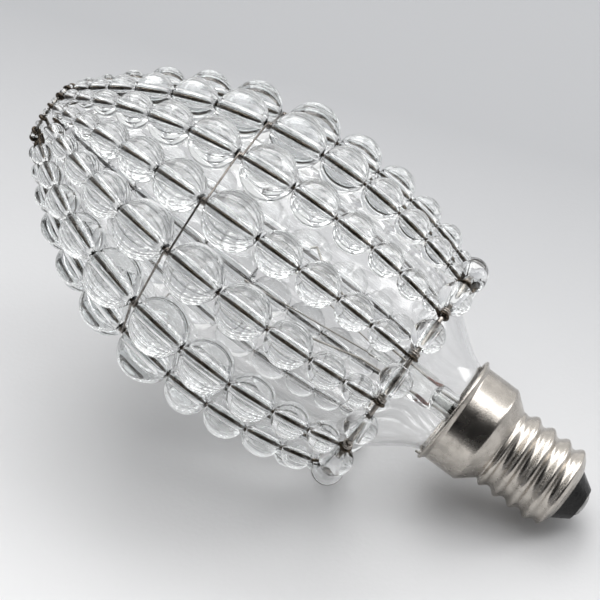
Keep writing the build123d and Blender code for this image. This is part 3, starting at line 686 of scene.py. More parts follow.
def rounded(corners, radius, steps=5):
    """Line with bends at its corners: P(s) = (1-s)^2 A + 2 s (1-s) C + s^2 B, from A to B about corner C."""
    corners = np.asarray(corners, float)
    before = unit(corners[:-2] - corners[1:-1])
    after = unit(corners[2:] - corners[1:-1])
    turn = np.pi - np.arccos(np.clip(np.sum(before * after, axis=-1), -1, 1))
    reach = (radius * np.tan(turn / 2))[:, None]
    start, end = (corners[1:-1] + reach * side for side in (before, after))
    s = np.linspace(0, 1, steps)[None, :, None]
    bends = (1 - s) ** 2 * start[:, None] + 2 * s * (1 - s) * corners[1:-1, None] + s**2 * end[:, None]
    return np.concatenate([corners[:1], bends.reshape(-1, corners.shape[1]), corners[-1:]])


def divided(path, longest):
    """Path with points added on its straight runs, none further apart than a length."""
    gaps = np.linalg.norm(np.diff(path, axis=0), axis=1)
    counts = np.maximum(1, np.ceil(gaps / longest)).astype(int)
    place = np.concatenate([np.arange(n) / n + k for k, n in enumerate(counts)] + [[len(path) - 1]])
    stations = np.arange(len(path))
    return np.stack([np.interp(place, stations, column) for column in path.T], axis=-1)


# Beads


def bead_profile(diameter, bore, rows):
    """Closed half section of a drilled sphere, and the finish of each row.

    The sphere is (R cos t, R sin t), a small lip rounds into the hole, and the bore is a straight line.
    """
    lip = 0.1 * bore
    edge = np.arccos((bore / 2 + lip) / (diameter / 2))
    t = np.linspace(-edge, edge, rows)
    sphere = np.stack([np.cos(t), np.sin(t)], axis=-1) * diameter / 2
    end = sphere[-1, 1] - lip / 2
    along = np.linspace(end, -end, 5)
    hole = np.stack([np.full_like(along, bore / 2), along], axis=-1)
    lips = sphere[[-1, 0]] + [[-0.7 * lip, -0.1 * lip], [-0.7 * lip, 0.1 * lip]]
    profile = np.concatenate([sphere, lips[:1], hole, lips[1:]])
    finish = np.zeros(len(profile), int)
    finish[rows : rows + len(hole) + 1] = 1
    return profile, finish


def bead_grid(diameter, bore, centre, axis):
    """Grid of one drilled bead, a touch out of round as handmade beads are."""
    steps = int(np.clip(round(diameter / MM * 5.5), 16, 48))
    profile, finish = bead_profile(diameter, bore, steps // 2)
    squash = 1 - group("beads").unevenness * HANDMADE.random()
    return around(profile, centre, axis, steps, squash), True, finish


def bore_of(diameter):
    """Diameter of the hole through a rib bead."""
    beads = group("beads")
    return max(beads.bore_least, beads.bore_share * diameter)


def rib_bead_grids(letter, angle):
    """Beads of one rib, each centred between its two joints."""
    grids = []
    for diameters, direction in zip(bead_rows(letter), (1, -1)):
        joints = in_plane(meridian(joint_runs(diameters, direction)), angle)
        for diameter, near, far in zip(diameters, joints, joints[1:]):
            grids.append(bead_grid(diameter, bore_of(diameter), (near + far) / 2, far - near))
    return grids


def ring_bead_grids(ring, diameter, bore):
    """Beads threaded on a ring, one between each two ribs."""
    grids = []
    for angle in middle_angles():
        heading = (-np.sin(angle), np.cos(angle), 0.0)
        grids.append(bead_grid(diameter, bore, in_plane(ring, angle), heading))
    return grids


# Wires of the cover


def eye_points(ring, joint, radius, inward, turn, steps=26):
    """Eye in the plane of a rib: from the point where the wire touches its circle, run on round the ring."""
    along = ring - joint
    distance = np.linalg.norm(along)
    side = 1 if inward else -1
    swing = side * np.arcsin(radius / distance)
    heading = rotated(along / distance, swing)
    spoke = joint + heading * np.sqrt(distance**2 - radius**2) - ring
    turns = -side * np.linspace(0, turn, steps)
    return ring + rotated(spoke, turns)


def rotated(vector, turns):
    """Plane vector turned by angles: (x cos t - y sin t, x sin t + y cos t)."""
    x, y = vector
    cos, sin = np.cos(turns), np.sin(turns)
    return np.stack([x * cos - y * sin, x * sin + y * cos], axis=-1)


def rib_path(letter):
    """Line of a rib wire as radius and height: eye, straight runs through the beads, eye."""
    wires = group("wires")
    above, below = bead_rows(letter)
    upper = meridian(joint_runs(above, 1))
    lower = meridian(joint_runs(below, -1))
    tip_ring, base_ring = ring_places()
    tip = eye_points(tip_ring, upper[-1], (wires.tip_eye - wires.rib) / 2, True, wires.eye_turn)
    base = eye_points(base_ring, lower[-1], (wires.base_eye - wires.rib) / 2, False, wires.eye_turn)
    tie = (upper[:1] + lower[:1]) / 2
    run = rounded(np.concatenate([tip[:1], upper[:0:-1], tie, lower[1:], base[:1]]), wires.bend)
    return np.concatenate([tip[:0:-1], run, base[1:]])


def wrap_path(angle, ring):
    """Fine turns round the base ring beside an eye: a helix whose axis is the ring."""
    wires = group("wires")
    radius = (wires.base + wires.wrap) / 2 + TURN_PLAY
    step = TURN_SHARE * wires.wrap
    offset = (wires.rib + wires.wrap) / 2 + WRAP_OFF_EYE
    turn = np.linspace(-np.pi, 2 * np.pi * GRIP_TURNS - np.pi, 20 * GRIP_TURNS + 1)
    place = angle + (offset + step * (turn / (2 * np.pi))) / ring[0]
    section = np.stack([ring[0] + radius * np.cos(turn), ring[1] + radius * np.sin(turn)], axis=-1)
    heading = np.stack([-np.sin(place), np.cos(place), np.zeros_like(place)], axis=-1)
    return in_plane(section, place), heading


def tie_path():
    """Tie wire: from rib to rib, with turns P(t) = R (cos t out + sin t along) + rise t up round each rib."""
    wires = group("wires")
    radius = (wires.rib + wires.tie) / 2 + TURN_PLAY
    step = TURN_SHARE * wires.tie
    tie_radius, tie_height = tie_place()
    turn = np.linspace(0, -2 * np.pi * GRIP_TURNS, 18 * GRIP_TURNS + 1)
    rise = step * (-turn / (2 * np.pi) - GRIP_TURNS / 2)
    path = []
    for angle in rib_angles():
        along = np.array([-np.sin(angle), np.cos(angle), 0.0])
        up = in_plane((-np.sin(wires.tie_lean), np.cos(wires.tie_lean)), angle)
        centre = in_plane((tie_radius, tie_height), angle)
        level = np.cross(along, up)
        circle = radius * (np.cos(turn)[:, None] * level + np.sin(turn)[:, None] * along)
        path.append(centre + circle + rise[:, None] * up)
    path = np.concatenate(path)
    return divided(np.concatenate([path, path[:1]]), 1.0 * MM)[:-1]


# Bulb


def smooth_line(points, start, end, count):
    """Cubic spline through points with given end directions.

    With chords h the slopes m solve m[i-1]/h[i-1] + 2 m[i] (1/h[i-1] + 1/h[i]) + m[i+1]/h[i]
    = 3 (d[i-1]/h[i-1]^2 + d[i]/h[i]^2), and each span is the cubic with those slopes.
    """
    points = np.asarray(points, float)
    steps = np.diff(points, axis=0)
    chord = np.linalg.norm(steps, axis=1)
    count_points = len(points)
    matrix = np.eye(count_points)
    right = np.zeros_like(points)
    right[0], right[-1] = start, end
    for k in range(1, count_points - 1):
        matrix[k, k - 1 : k + 2] = 1 / chord[k - 1], 2 / chord[k - 1] + 2 / chord[k], 1 / chord[k]
        right[k] = 3 * (steps[k - 1] / chord[k - 1] ** 2 + steps[k] / chord[k] ** 2)
    slope = np.linalg.solve(matrix, right)
    knots = np.concatenate([[0], np.cumsum(chord)])
    place = np.linspace(0, knots[-1], count)
    span = np.clip(np.searchsorted(knots, place, side="right") - 1, 0, count_points - 2)
    length = chord[span][:, None]
    s = (place[:, None] - knots[span][:, None]) / length
    first = (1 + 2 * s) * (1 - s) ** 2 * points[span] + s * (1 - s) ** 2 * length * slope[span]
    second = s**2 * (3 - 2 * s) * points[span + 1] + s**2 * (s - 1) * length * slope[span + 1]
    return first + second


def drawn_in(line, distance):
    """Line moved sideways by a distance, to the left of its own direction."""
    direction = unit(np.gradient(line, axis=0))
    return line + distance * np.stack([-direction[:, 1], direction[:, 0]], axis=-1)


def envelope_profile():
    """Half section of the blown glass: outside from neck to tip, inside back to the neck."""
    bulb = group("bulb")
    outline = list(zip(bulb.outline_radius, bulb.outline_height))
    body = smooth_line(outline + [(0.0, bulb.tip)], (0.0, 1.0), (-1.0, 0.0), 120)
    outside = np.concatenate([[(outline[0][0], bulb.neck_bottom)], body])
    inside = drawn_in(outside, bulb.wall)
    inside[-1] = 0.0, bulb.tip - bulb.wall
    inside[0, 1] = bulb.neck_bottom
    inside[:, 0] = np.maximum(inside[:, 0], 0.0)
    return np.concatenate([outside, inside[::-1]])


def mount_surface(steps=64):
    """Glass mount: P(v, t) = (a(v) c, b(v) s, z(v)), where c and s go from a circle to a rounded oblong.

    The profile runs up the outside from the flare to the button, and up the tube's inside to the press.
    """
    bulb = group("bulb")
    flare = bulb.outline_radius[0] - bulb.wall
    tube_radius = bulb.tube / 2
    inner = tube_radius - bulb.tube_wall
    flare_top = bulb.neck_bottom + STEM_FLARE
    inward, upward = (-1.0, 0.25), (0.0, 1.0)
    outer_edge = (flare, bulb.neck_bottom + bulb.tube_wall)
    outer_flare = smooth_line([outer_edge, (tube_radius, flare_top)], inward, upward, 16)
    inner_flare = smooth_line([(flare, bulb.neck_bottom), (inner, flare_top)], inward, upward, 16)
    press = np.linspace(bulb.press_bottom, bulb.press_top, 12)
    share = (press - bulb.press_bottom) / (bulb.press_top - bulb.press_bottom)
    shoulder = np.sqrt(np.clip(1 - ((share - 0.85) / 0.15) ** 2, 0, 1)) * (share > 0.85) + (share <= 0.85)
    eased = np.clip(share * 2.2, 0, 1) ** 0.8
    wide = (tube_radius + (bulb.press_width / 2 - tube_radius) * eased) * shoulder
    thick = (tube_radius + (bulb.press_thickness / 2 - tube_radius) * eased) * shoulder
    rod = 0.35 * bulb.button
    wide, thick = np.maximum(wide, rod), np.maximum(thick, rod)
    knob = np.linspace(-0.72, np.pi / 2, 12)
    knob_centre = bulb.button_top - bulb.button / 2
    knob_radius = bulb.button / 2 * np.cos(knob)
    knob_radius[-1] = 0
    rows_a = np.concatenate([outer_flare[:, 0], wide, knob_radius])
    rows_b = np.concatenate([outer_flare[:, 0], thick, knob_radius])
    rows_z = np.concatenate([outer_flare[:, 1], press, knob_centre + bulb.button / 2 * np.sin(knob)])
    inside_a = np.append(inner_flare[:, 0], [inner, 0.7 * inner, 0.0])
    closing = np.array([-0.3, 0.3, 0.5]) * MM  # where the tube's inside closes into the press
    inside_z = np.append(inner_flare[:, 1], bulb.press_bottom + closing)
    a = np.concatenate([rows_a, inside_a[::-1]])[:, None]
    b = np.concatenate([rows_b, inside_a[::-1]])[:, None]
    z = np.concatenate([rows_z, inside_z[::-1]])[:, None]
    turn = np.linspace(0, 2 * np.pi, steps, endpoint=False)[None, :]
    power = np.where(np.abs(a - b) > 0.05 * MM, 0.72, 1.0)
    c = np.sign(np.cos(turn)) * np.abs(np.cos(turn)) ** power
    s = np.sign(np.sin(turn)) * np.abs(np.sin(turn)) ** power
    x, y = a * c, b * s
    cos, sin = np.cos(bulb.lead_angle), np.sin(bulb.lead_angle)
    return np.stack([x * cos - y * sin, x * sin + y * cos, np.broadcast_to(z, x.shape)], axis=-1)


def lead_normal():
    """Direction square to the plane of the two leads."""
    lead_angle = group("bulb").lead_angle
    return np.array([-np.sin(lead_angle), np.cos(lead_angle), 0.0])


def flare_points():
    """Foot, edge, slope and inner face direction of the rim's flare, along the middle of the sheet."""
    cap = group("cap")
    foot = np.array([cap.skirt / 2 - cap.wall / 2, cap.height - cap.rim_roll])
    edge = np.array([cap.rim / 2 - cap.wall / 2, cap.height - cap.wall / 2])
    slope = unit(edge - foot)
    return foot, edge, slope, np.array([-slope[1], slope[0]])


def lead_lines():
    """Corners of the two leads as distance across and height: hook, press, then contact or rim."""
    bulb, cap = group("bulb"), group("cap")
    inside = bulb.lead_inside
    shared = np.array([
        (bulb.lead_spread - HOOK / 2, bulb.lead_top + HOOK / 2),
        (bulb.lead_spread + HOOK / 2, bulb.lead_top - HOOK / 2),
        (bulb.lead_spread * 0.7, bulb.lead_top - 5 * HOOK),
        (inside + LEAD_SPLAY[1], bulb.button_top),
        (inside + LEAD_SPLAY[0], bulb.press_top),
        (inside, bulb.press_bottom),
    ])
    eyelet_top = cap.insulator_foot + cap.eyelet_depth
    exhaust_end = bulb.press_bottom - bulb.exhaust_length
    to_contact = np.concatenate([
        shared,
        [
            (inside, exhaust_end - LEAD_PAST_EXHAUST),
            (0, eyelet_top + LEAD_OVER_EYELET),
            (0, cap.insulator_foot + EYELET_SOLDER),
        ],
    ])
    foot, edge, slope, face = flare_points()
    gap = (bulb.outline_radius[0] + cap.skirt / 2 - cap.wall) / 2
    lift = face * (cap.wall / 2 + cap.lead_off_rim)
    turn = foot + lift + slope * ((gap - (foot + lift)[0]) / slope[0])
    out = edge + lift + slope * cap.lead_off_rim
    to_rim = np.concatenate([
        shared,
        [
            (inside, bulb.neck_bottom + LEAD_IN_FLARE),
            (gap - LEAD_ROUND_NECK, bulb.neck_bottom - LEAD_UNDER_NECK[0]),
            (gap, bulb.neck_bottom - LEAD_UNDER_NECK[1]),
            turn,
            out,
            (out[0], cap.height + cap.lead_tail),
        ],
    ]) * (-1, 1)
    return to_contact, to_rim


def filament_line():
    """Middle line of the coiled filament: from hook to hook over the two supports, with a slight sag."""
    bulb = group("bulb")
    end = bulb.lead_spread - HOOK
    top = bulb.support_spread + SHOULDER
    ends = [(end, bulb.lead_top), (top, bulb.support_top)]
    corners = ends + [(-across, height) for across, height in reversed(ends)]
    return divided(rounded(corners, HOOK), 0.05 * MM)


def filament_coil():
    """Coil round the filament's middle line: P(s) = line(s) + R (cos t across + sin t normal)."""
    bulb = group("bulb")
    line = in_plane(filament_line(), bulb.lead_angle)
    run = np.concatenate([[0], np.cumsum(np.linalg.norm(np.diff(line, axis=0), axis=1))])
    place = np.linspace(0, run[-1], COIL_TURNS * 10 + 1)
    line = np.stack([np.interp(place, run, column) for column in line.T], axis=-1)
    heading = unit(np.gradient(line, axis=0))
    normal = lead_normal()
    across = np.cross(heading, normal)
    turn = np.linspace(0, 2 * np.pi * COIL_TURNS, len(place))[:, None]
    radius = (bulb.coil - bulb.filament) / 2
    return line + radius * (np.cos(turn) * across + np.sin(turn) * normal), heading


# Screw cap


def shell_profile():
    """Middle line of the cap's sheet from the curl to the rim, with its bends rounded."""
    cap = group("cap")
    half = cap.wall / 2
    root = cap.root / 2 - half
    foot, edge = flare_points()[:2]
    corners = [
        (cap.end_diameter / 2 - half, cap.end + half),
        (root, cap.end + half + cap.curl),
        (root, cap.thread_top + cap.neck),
        (cap.skirt / 2 - half, cap.height - cap.skirt_length),
        foot,
        edge,
    ]
    return divided(rounded(corners, SHEET_BEND, steps=7), 0.16 * MM)


def shell_surface(steps=144):
    """Rolled thread: radius = sheet(z) + depth w(z) (0.5 + 0.5 cos 2 pi (z / pitch - t / 2 pi))^1.2.

    w rises from 0 to 1 at the thread's two ends. The sheet has an outside and an inside of that shape.
    """
    cap = group("cap")
    line = shell_profile()
    profile = np.concatenate([drawn_in(line, -cap.wall / 2), drawn_in(line, cap.wall / 2)[::-1]])
    turn = np.linspace(0, 2 * np.pi, steps, endpoint=False)[None, :]
    radius, height = profile[:, :1], profile[:, 1:]
    phase = (height - cap.thread_bottom) / cap.pitch - turn / (2 * np.pi)
    ease = cap.pitch * THREAD_FADE
    low = np.clip((height - (cap.thread_bottom - THREAD_BELOW)) / ease, 0, 1)
    high = np.clip((cap.thread_top + cap.neck + THREAD_ABOVE - height) / ease, 0, 1)
    window = (3 * low**2 - 2 * low**3) * (3 * high**2 - 2 * high**3)
    depth = (cap.crest - cap.root) / 2
    radius = radius + depth * window * (0.5 + 0.5 * np.cos(2 * np.pi * phase)) ** 1.2
    height = np.broadcast_to(height, radius.shape)
    return np.stack([radius * np.cos(turn), radius * np.sin(turn), height], axis=-1)


def turned_z(profile, steps=96):
    """Surface of revolution about the bulb's axis."""
    return around(profile, np.zeros(3), (0.0, 0.0, 1.0), steps)


# Operators, one for each piece or group of like pieces


class CoverOperator:
    """What the operators share."""

    bl_options = {"REGISTER", "UNDO"}


class BEADCOVER_OT_rib_beads(CoverOperator, bpy.types.Operator):
    """String a row of drilled glass beads on each rib"""

    bl_idname = "bead_cover.rib_beads"
    bl_label = "Rib beads"

    def execute(self, context):
        finishes = [pressed_bead_glass(), drawn_bore()]
        for number, (letter, angle) in enumerate(zip(RIB_PLAN, rib_angles()), start=1):
            name, node = f"glass_beads_of_rib_{number:02d}", f"rib_beads_{number:02d}"
            make_piece(name, rib_bead_grids(letter, angle), finishes, [node])
        return {"FINISHED"}


class BEADCOVER_OT_ring_beads(CoverOperator, bpy.types.Operator):
    """Thread the beads between the ribs on the base ring and on the tip ring"""

    bl_idname = "bead_cover.ring_beads"
    bl_label = "Ring beads"

    def execute(self, context):
        beads, wires = group("beads"), group("wires")
        finishes = [bpy.data.materials[name] for name in ("pressed_bead_glass", "pin_drawn_bore_glass")]
        tip_ring, base_ring = ring_places()
        base_bore = bore_of(beads.base) + wires.base / 2
        base = ring_bead_grids(base_ring, beads.base, base_bore)
        make_piece("glass_beads_of_base_ring", base, finishes, ["base_ring_beads"])
        tip = ring_bead_grids(tip_ring, beads.tip, beads.tip_bore)
        make_piece("seed_beads_of_tip_ring", tip, finishes, ["tip_ring_beads"])
        return {"FINISHED"}


class BEADCOVER_OT_rib_wires(CoverOperator, bpy.types.Operator):
    """Bend the rib wires, with an eye round each ring"""

    bl_idname = "bead_cover.rib_wires"
    bl_label = "Rib wires"

    def execute(self, context):
        # The rib wire's tint carries painted shade for the shade inside the bores.
        finish = drawn_wire("rib_wire_steel_with_painted_shade", group("finishes").steel, 0.34, 0.2)
        radius = group("wires").rib / 2
        for number, (letter, angle) in enumerate(zip(RIB_PLAN, rib_angles()), start=1):
            path = in_plane(divided(rib_path(letter), 1.5 * MM), angle)
            normal = (-np.sin(angle), np.cos(angle), 0.0)
            grid = (tube(path, radius, 14, normal), False, 0)
            name, node = f"bent_wire_of_rib_{number:02d}", f"rib_wire_{number:02d}"
            make_piece(name, [grid], [finish], [node])
        return {"FINISHED"}


class BEADCOVER_OT_ring_wires(CoverOperator, bpy.types.Operator):
    """Bend the base ring and the tip ring, and wind the fine turns beside the eyes"""

    bl_idname = "bead_cover.ring_wires"
    bl_label = "Ring wires"

    def execute(self, context):
        wires = group("wires")
        finish = drawn_wire("drawn_steel_ring_wire", group("finishes").ring, 0.36, 0.2)
        places = zip(ring_places(), (wires.tip, wires.base), ("tip", "base"))
        for (radius, height), wire, name in places:
            turn = np.linspace(0, 2 * np.pi, 240, endpoint=False)
            level = np.full_like(turn, height)
            path = np.stack([radius * np.cos(turn), radius * np.sin(turn), level], axis=-1)
            grid = (tube(path, wire / 2, 16, (0.0, 0.0, 1.0), closed=True), True, 0)
            make_piece(f"wire_of_{name}_ring", [grid], [finish], [f"{name}_ring_wire"])
        base_ring = ring_places()[1]
        grids = []
        for angle in rib_angles():
            path, heading = wrap_path(angle, base_ring)
            grids.append((tube(path, wires.wrap / 2, 10, heading), False, 0))
        make_piece("fine_turns_beside_eyes", grids, [finish], ["ring_wraps"])
        return {"FINISHED"}


class BEADCOVER_OT_tie_wire(CoverOperator, bpy.types.Operator):
    """Run the tie wire from rib to rib, with turns round each"""

    bl_idname = "bead_cover.tie_wire"
    bl_label = "Tie wire"

    def execute(self, context):
        finish = drawn_wire("annealed_tie_wire", group("finishes").tie, 0.34, 0.2)
        grid = (tube(tie_path(), group("wires").tie / 2, 10, (0.0, 0.0, 1.0), closed=True), True, 0)
        make_piece("tie_wire_round_ribs", [grid], [finish], ["tie_wire"])
        return {"FINISHED"}


class BEADCOVER_OT_bulb_glass(CoverOperator, bpy.types.Operator):
    """Blow the clear candle shaped glass"""

    bl_idname = "bead_cover.bulb_glass"
    bl_label = "Bulb glass"

    def execute(self, context):
        grid = (turned_z(envelope_profile(), 160), True, 0)
        make_piece("blown_candle_glass", [grid], [blown_bulb_glass()], ["bulb_glass"])
        return {"FINISHED"}


class BEADCOVER_OT_glass_mount(CoverOperator, bpy.types.Operator):
    """Draw the stem with its flare, press and button, and the exhaust tube"""

    bl_idname = "bead_cover.glass_mount"
    bl_label = "Glass mount"

    def execute(self, context):
        bulb = group("bulb")
        finish = drawn_stem_glass()
        make_piece("stem_with_press", [(mount_surface(), True, 0)], [finish], ["stem_glass"])
        radius, wall = bulb.exhaust / 2, bulb.exhaust_wall
        top = bulb.press_bottom
        low = top - bulb.exhaust_length
        bowl = np.linspace(-np.pi / 2, 0, 10)
        outside = np.stack([radius * np.cos(bowl), low + radius + radius * np.sin(bowl)], axis=-1)
        inner = radius - wall
        inside = np.stack([inner * np.cos(bowl), low + radius + inner * np.sin(bowl)], axis=-1)
        outside[0, 0] = inside[0, 0] = 0
        profile = np.concatenate([outside, [(radius, top), (inner, top)], inside[::-1]])
        grid = (turned_z(profile, 40), True, 0)
        make_piece("exhaust_tube_sealed_off", [grid], [finish], ["exhaust_tube"])
        return {"FINISHED"}


class BEADCOVER_OT_leads(CoverOperator, bpy.types.Operator):
    """Bend the two leads and the two filament supports"""

    bl_idname = "bead_cover.leads"
    bl_label = "Leads and supports"

    def execute(self, context):
        bulb = group("bulb")
        finish = lead_wire_finish()
        normal = lead_normal()
        for corners, name in zip(lead_lines(), ("lead_to_contact", "lead_to_shell")):
            path = in_plane(divided(rounded(corners, LEAD_BEND), 0.8 * MM), bulb.lead_angle)
            grid = (tube(path, bulb.lead / 2, 12, normal), False, 0)
            make_piece(f"bent_{name}", [grid], [finish], [name])
        eye = (bulb.coil + bulb.support) / 2 + SUPPORT_PLAY
        grids = []
        for side in (-1, 1):
            foot = (side * bulb.button / 4, bulb.button_top - SUPPORT_IN_BUTTON)
            head = (side * bulb.support_spread, bulb.support_top - eye)
            rod = in_plane(np.array([foot, head]), bulb.lead_angle)
            grids.append((tube(divided(rod, 2 * MM), bulb.support / 2, 8, normal), False, 0))
            centre = in_plane((side * bulb.support_spread, bulb.support_top), bulb.lead_angle)
            turn = np.linspace(0, 2 * np.pi, 28, endpoint=False)[:, None]
            loop = centre + eye * (np.cos(turn) * normal + np.sin(turn) * np.array([0.0, 0.0, 1.0]))
            axis = np.cross(normal, (0.0, 0.0, 1.0))
            grids.append((tube(loop, bulb.support / 2, 8, axis, closed=True), True, 0))
        make_piece("supports_of_filament", grids, [finish], ["filament_supports"])
        return {"FINISHED"}


class BEADCOVER_OT_filament(CoverOperator, bpy.types.Operator):
    """Wind the filament's coil from hook to hook"""

    bl_idname = "bead_cover.filament"
    bl_label = "Filament"

    def execute(self, context):
        finish = drawn_wire("coiled_tungsten", group("finishes").tungsten, 0.6, 0.45)
        path, heading = filament_coil()
        grid = (tube(path, group("bulb").filament / 2, 6, heading), False, 0)
        make_piece("coiled_filament", [grid], [finish], ["filament"])
        return {"FINISHED"}


class BEADCOVER_OT_cap_shell(CoverOperator, bpy.types.Operator):
    """Press the cap's shell from sheet, with its rolled thread and flared rim"""

    bl_idname = "bead_cover.cap_shell"
    bl_label = "Cap shell"

    def execute(self, context):
        edge = flare_points()[1]
        turn = np.linspace(0, 2 * np.pi, 20, endpoint=False)
        bead = edge + RIM_BEAD * np.stack([np.cos(turn), np.sin(turn)], axis=-1)
        grids = [(shell_surface(), True, 0), (turned_z(bead, 144), True, 0)]
        make_piece("rolled_cap_shell", grids, [plated_cap_finish()], ["cap_shell"])
        return {"FINISHED"}


class BEADCOVER_OT_cap_foot(CoverOperator, bpy.types.Operator):
    """Cast the black glass, and set the contact, the cement and the drop of solder"""

    bl_idname = "bead_cover.cap_foot"
    bl_label = "Insulator, contact, cement and solder"

    def execute(self, context):
        cap, bulb = group("cap"), group("bulb")
        eyelet = cap.eyelet / 2
        eyelet_top = cap.insulator_foot + cap.eyelet_depth
        curl_top = cap.end + cap.curl + cap.wall
        inside = cap.root / 2 - cap.wall
        black = rounded([
            (eyelet, cap.insulator_foot),
            (cap.insulator_tip / 2, cap.insulator_foot),
            (cap.end_diameter / 2 - cap.wall, cap.end),
            (cap.end_diameter / 2 - cap.wall, cap.end + cap.wall),
            (inside, curl_top),
            (inside, cap.insulator_seat),
            (eyelet, eyelet_top),
        ], INSULATOR_EDGE)
        grid = (turned_z(divided(black, 0.4 * MM)), True, 0)
        make_piece("cast_insulator", [grid], [black_glass_finish()], ["cap_insulator"])

        reach = np.linspace(0, np.pi / 2, 14)
        half, foot_height = cap.contact / 2, cap.insulator_foot
        dome = np.stack([half * np.sin(reach), foot_height * (1 - np.cos(reach))], axis=-1)
        stem = [(half, foot_height), (eyelet, foot_height), (eyelet, eyelet_top)]
        floor_height = foot_height + EYELET_SOLDER
        bore = [(bulb.lead / 2, eyelet_top), (bulb.lead / 2, floor_height), (0.0, floor_height)]
        grid = (turned_z(np.concatenate([dome[:-1], stem, bore]), 64), False, 0)
        solder = solder_finish()
        make_piece("solder_contact", [grid], [solder], ["centre_contact"])

        neck, skirt = bulb.outline_radius[0], cap.skirt / 2 - cap.wall
        low = bulb.neck_bottom + CEMENT_OFF_ENDS[0]
        high = bulb.outline_height[0] - CEMENT_OFF_ENDS[1]
        section = np.array([(neck, low), (skirt, low), (skirt, high), (neck, high), (neck, low)])
        grid = (turned_z(divided(section, 0.3 * MM)[:-1]), True, 0)
        make_piece("ring_of_cement", [grid], [cement_finish()], ["cap_cement"])

        foot, edge, _, face = flare_points()
        seat = (foot + edge) / 2 + face * cap.wall / 2
        side = bulb.lead_angle + np.pi
        radius = cap.solder / 2
        drop = np.stack([radius * np.cos(reach), DOME_SHARE * radius * np.sin(reach)], axis=-1)
        drop[-1, 0] = 0
        drop = np.concatenate([[(0.0, 0.0)], drop])
        grid = (around(drop, in_plane(seat, side), in_plane(face, side), 32), False, 0)
        make_piece("solder_drop_at_rim", [grid], [solder], ["side_solder"])
        return {"FINISHED"}


def lowest_point(direction):
    """Lowest place of all the pieces along a direction: min of P . direction."""
    lows = []
    for piece in bpy.context.scene.collection.objects:
        if piece.type == "MESH":
            points = np.empty(3 * len(piece.data.vertices), np.float32)
            piece.data.vertices.foreach_get("co", points)
            lows.append((points.reshape(-1, 3) @ np.array(direction)).min())
    return float(min(lows))


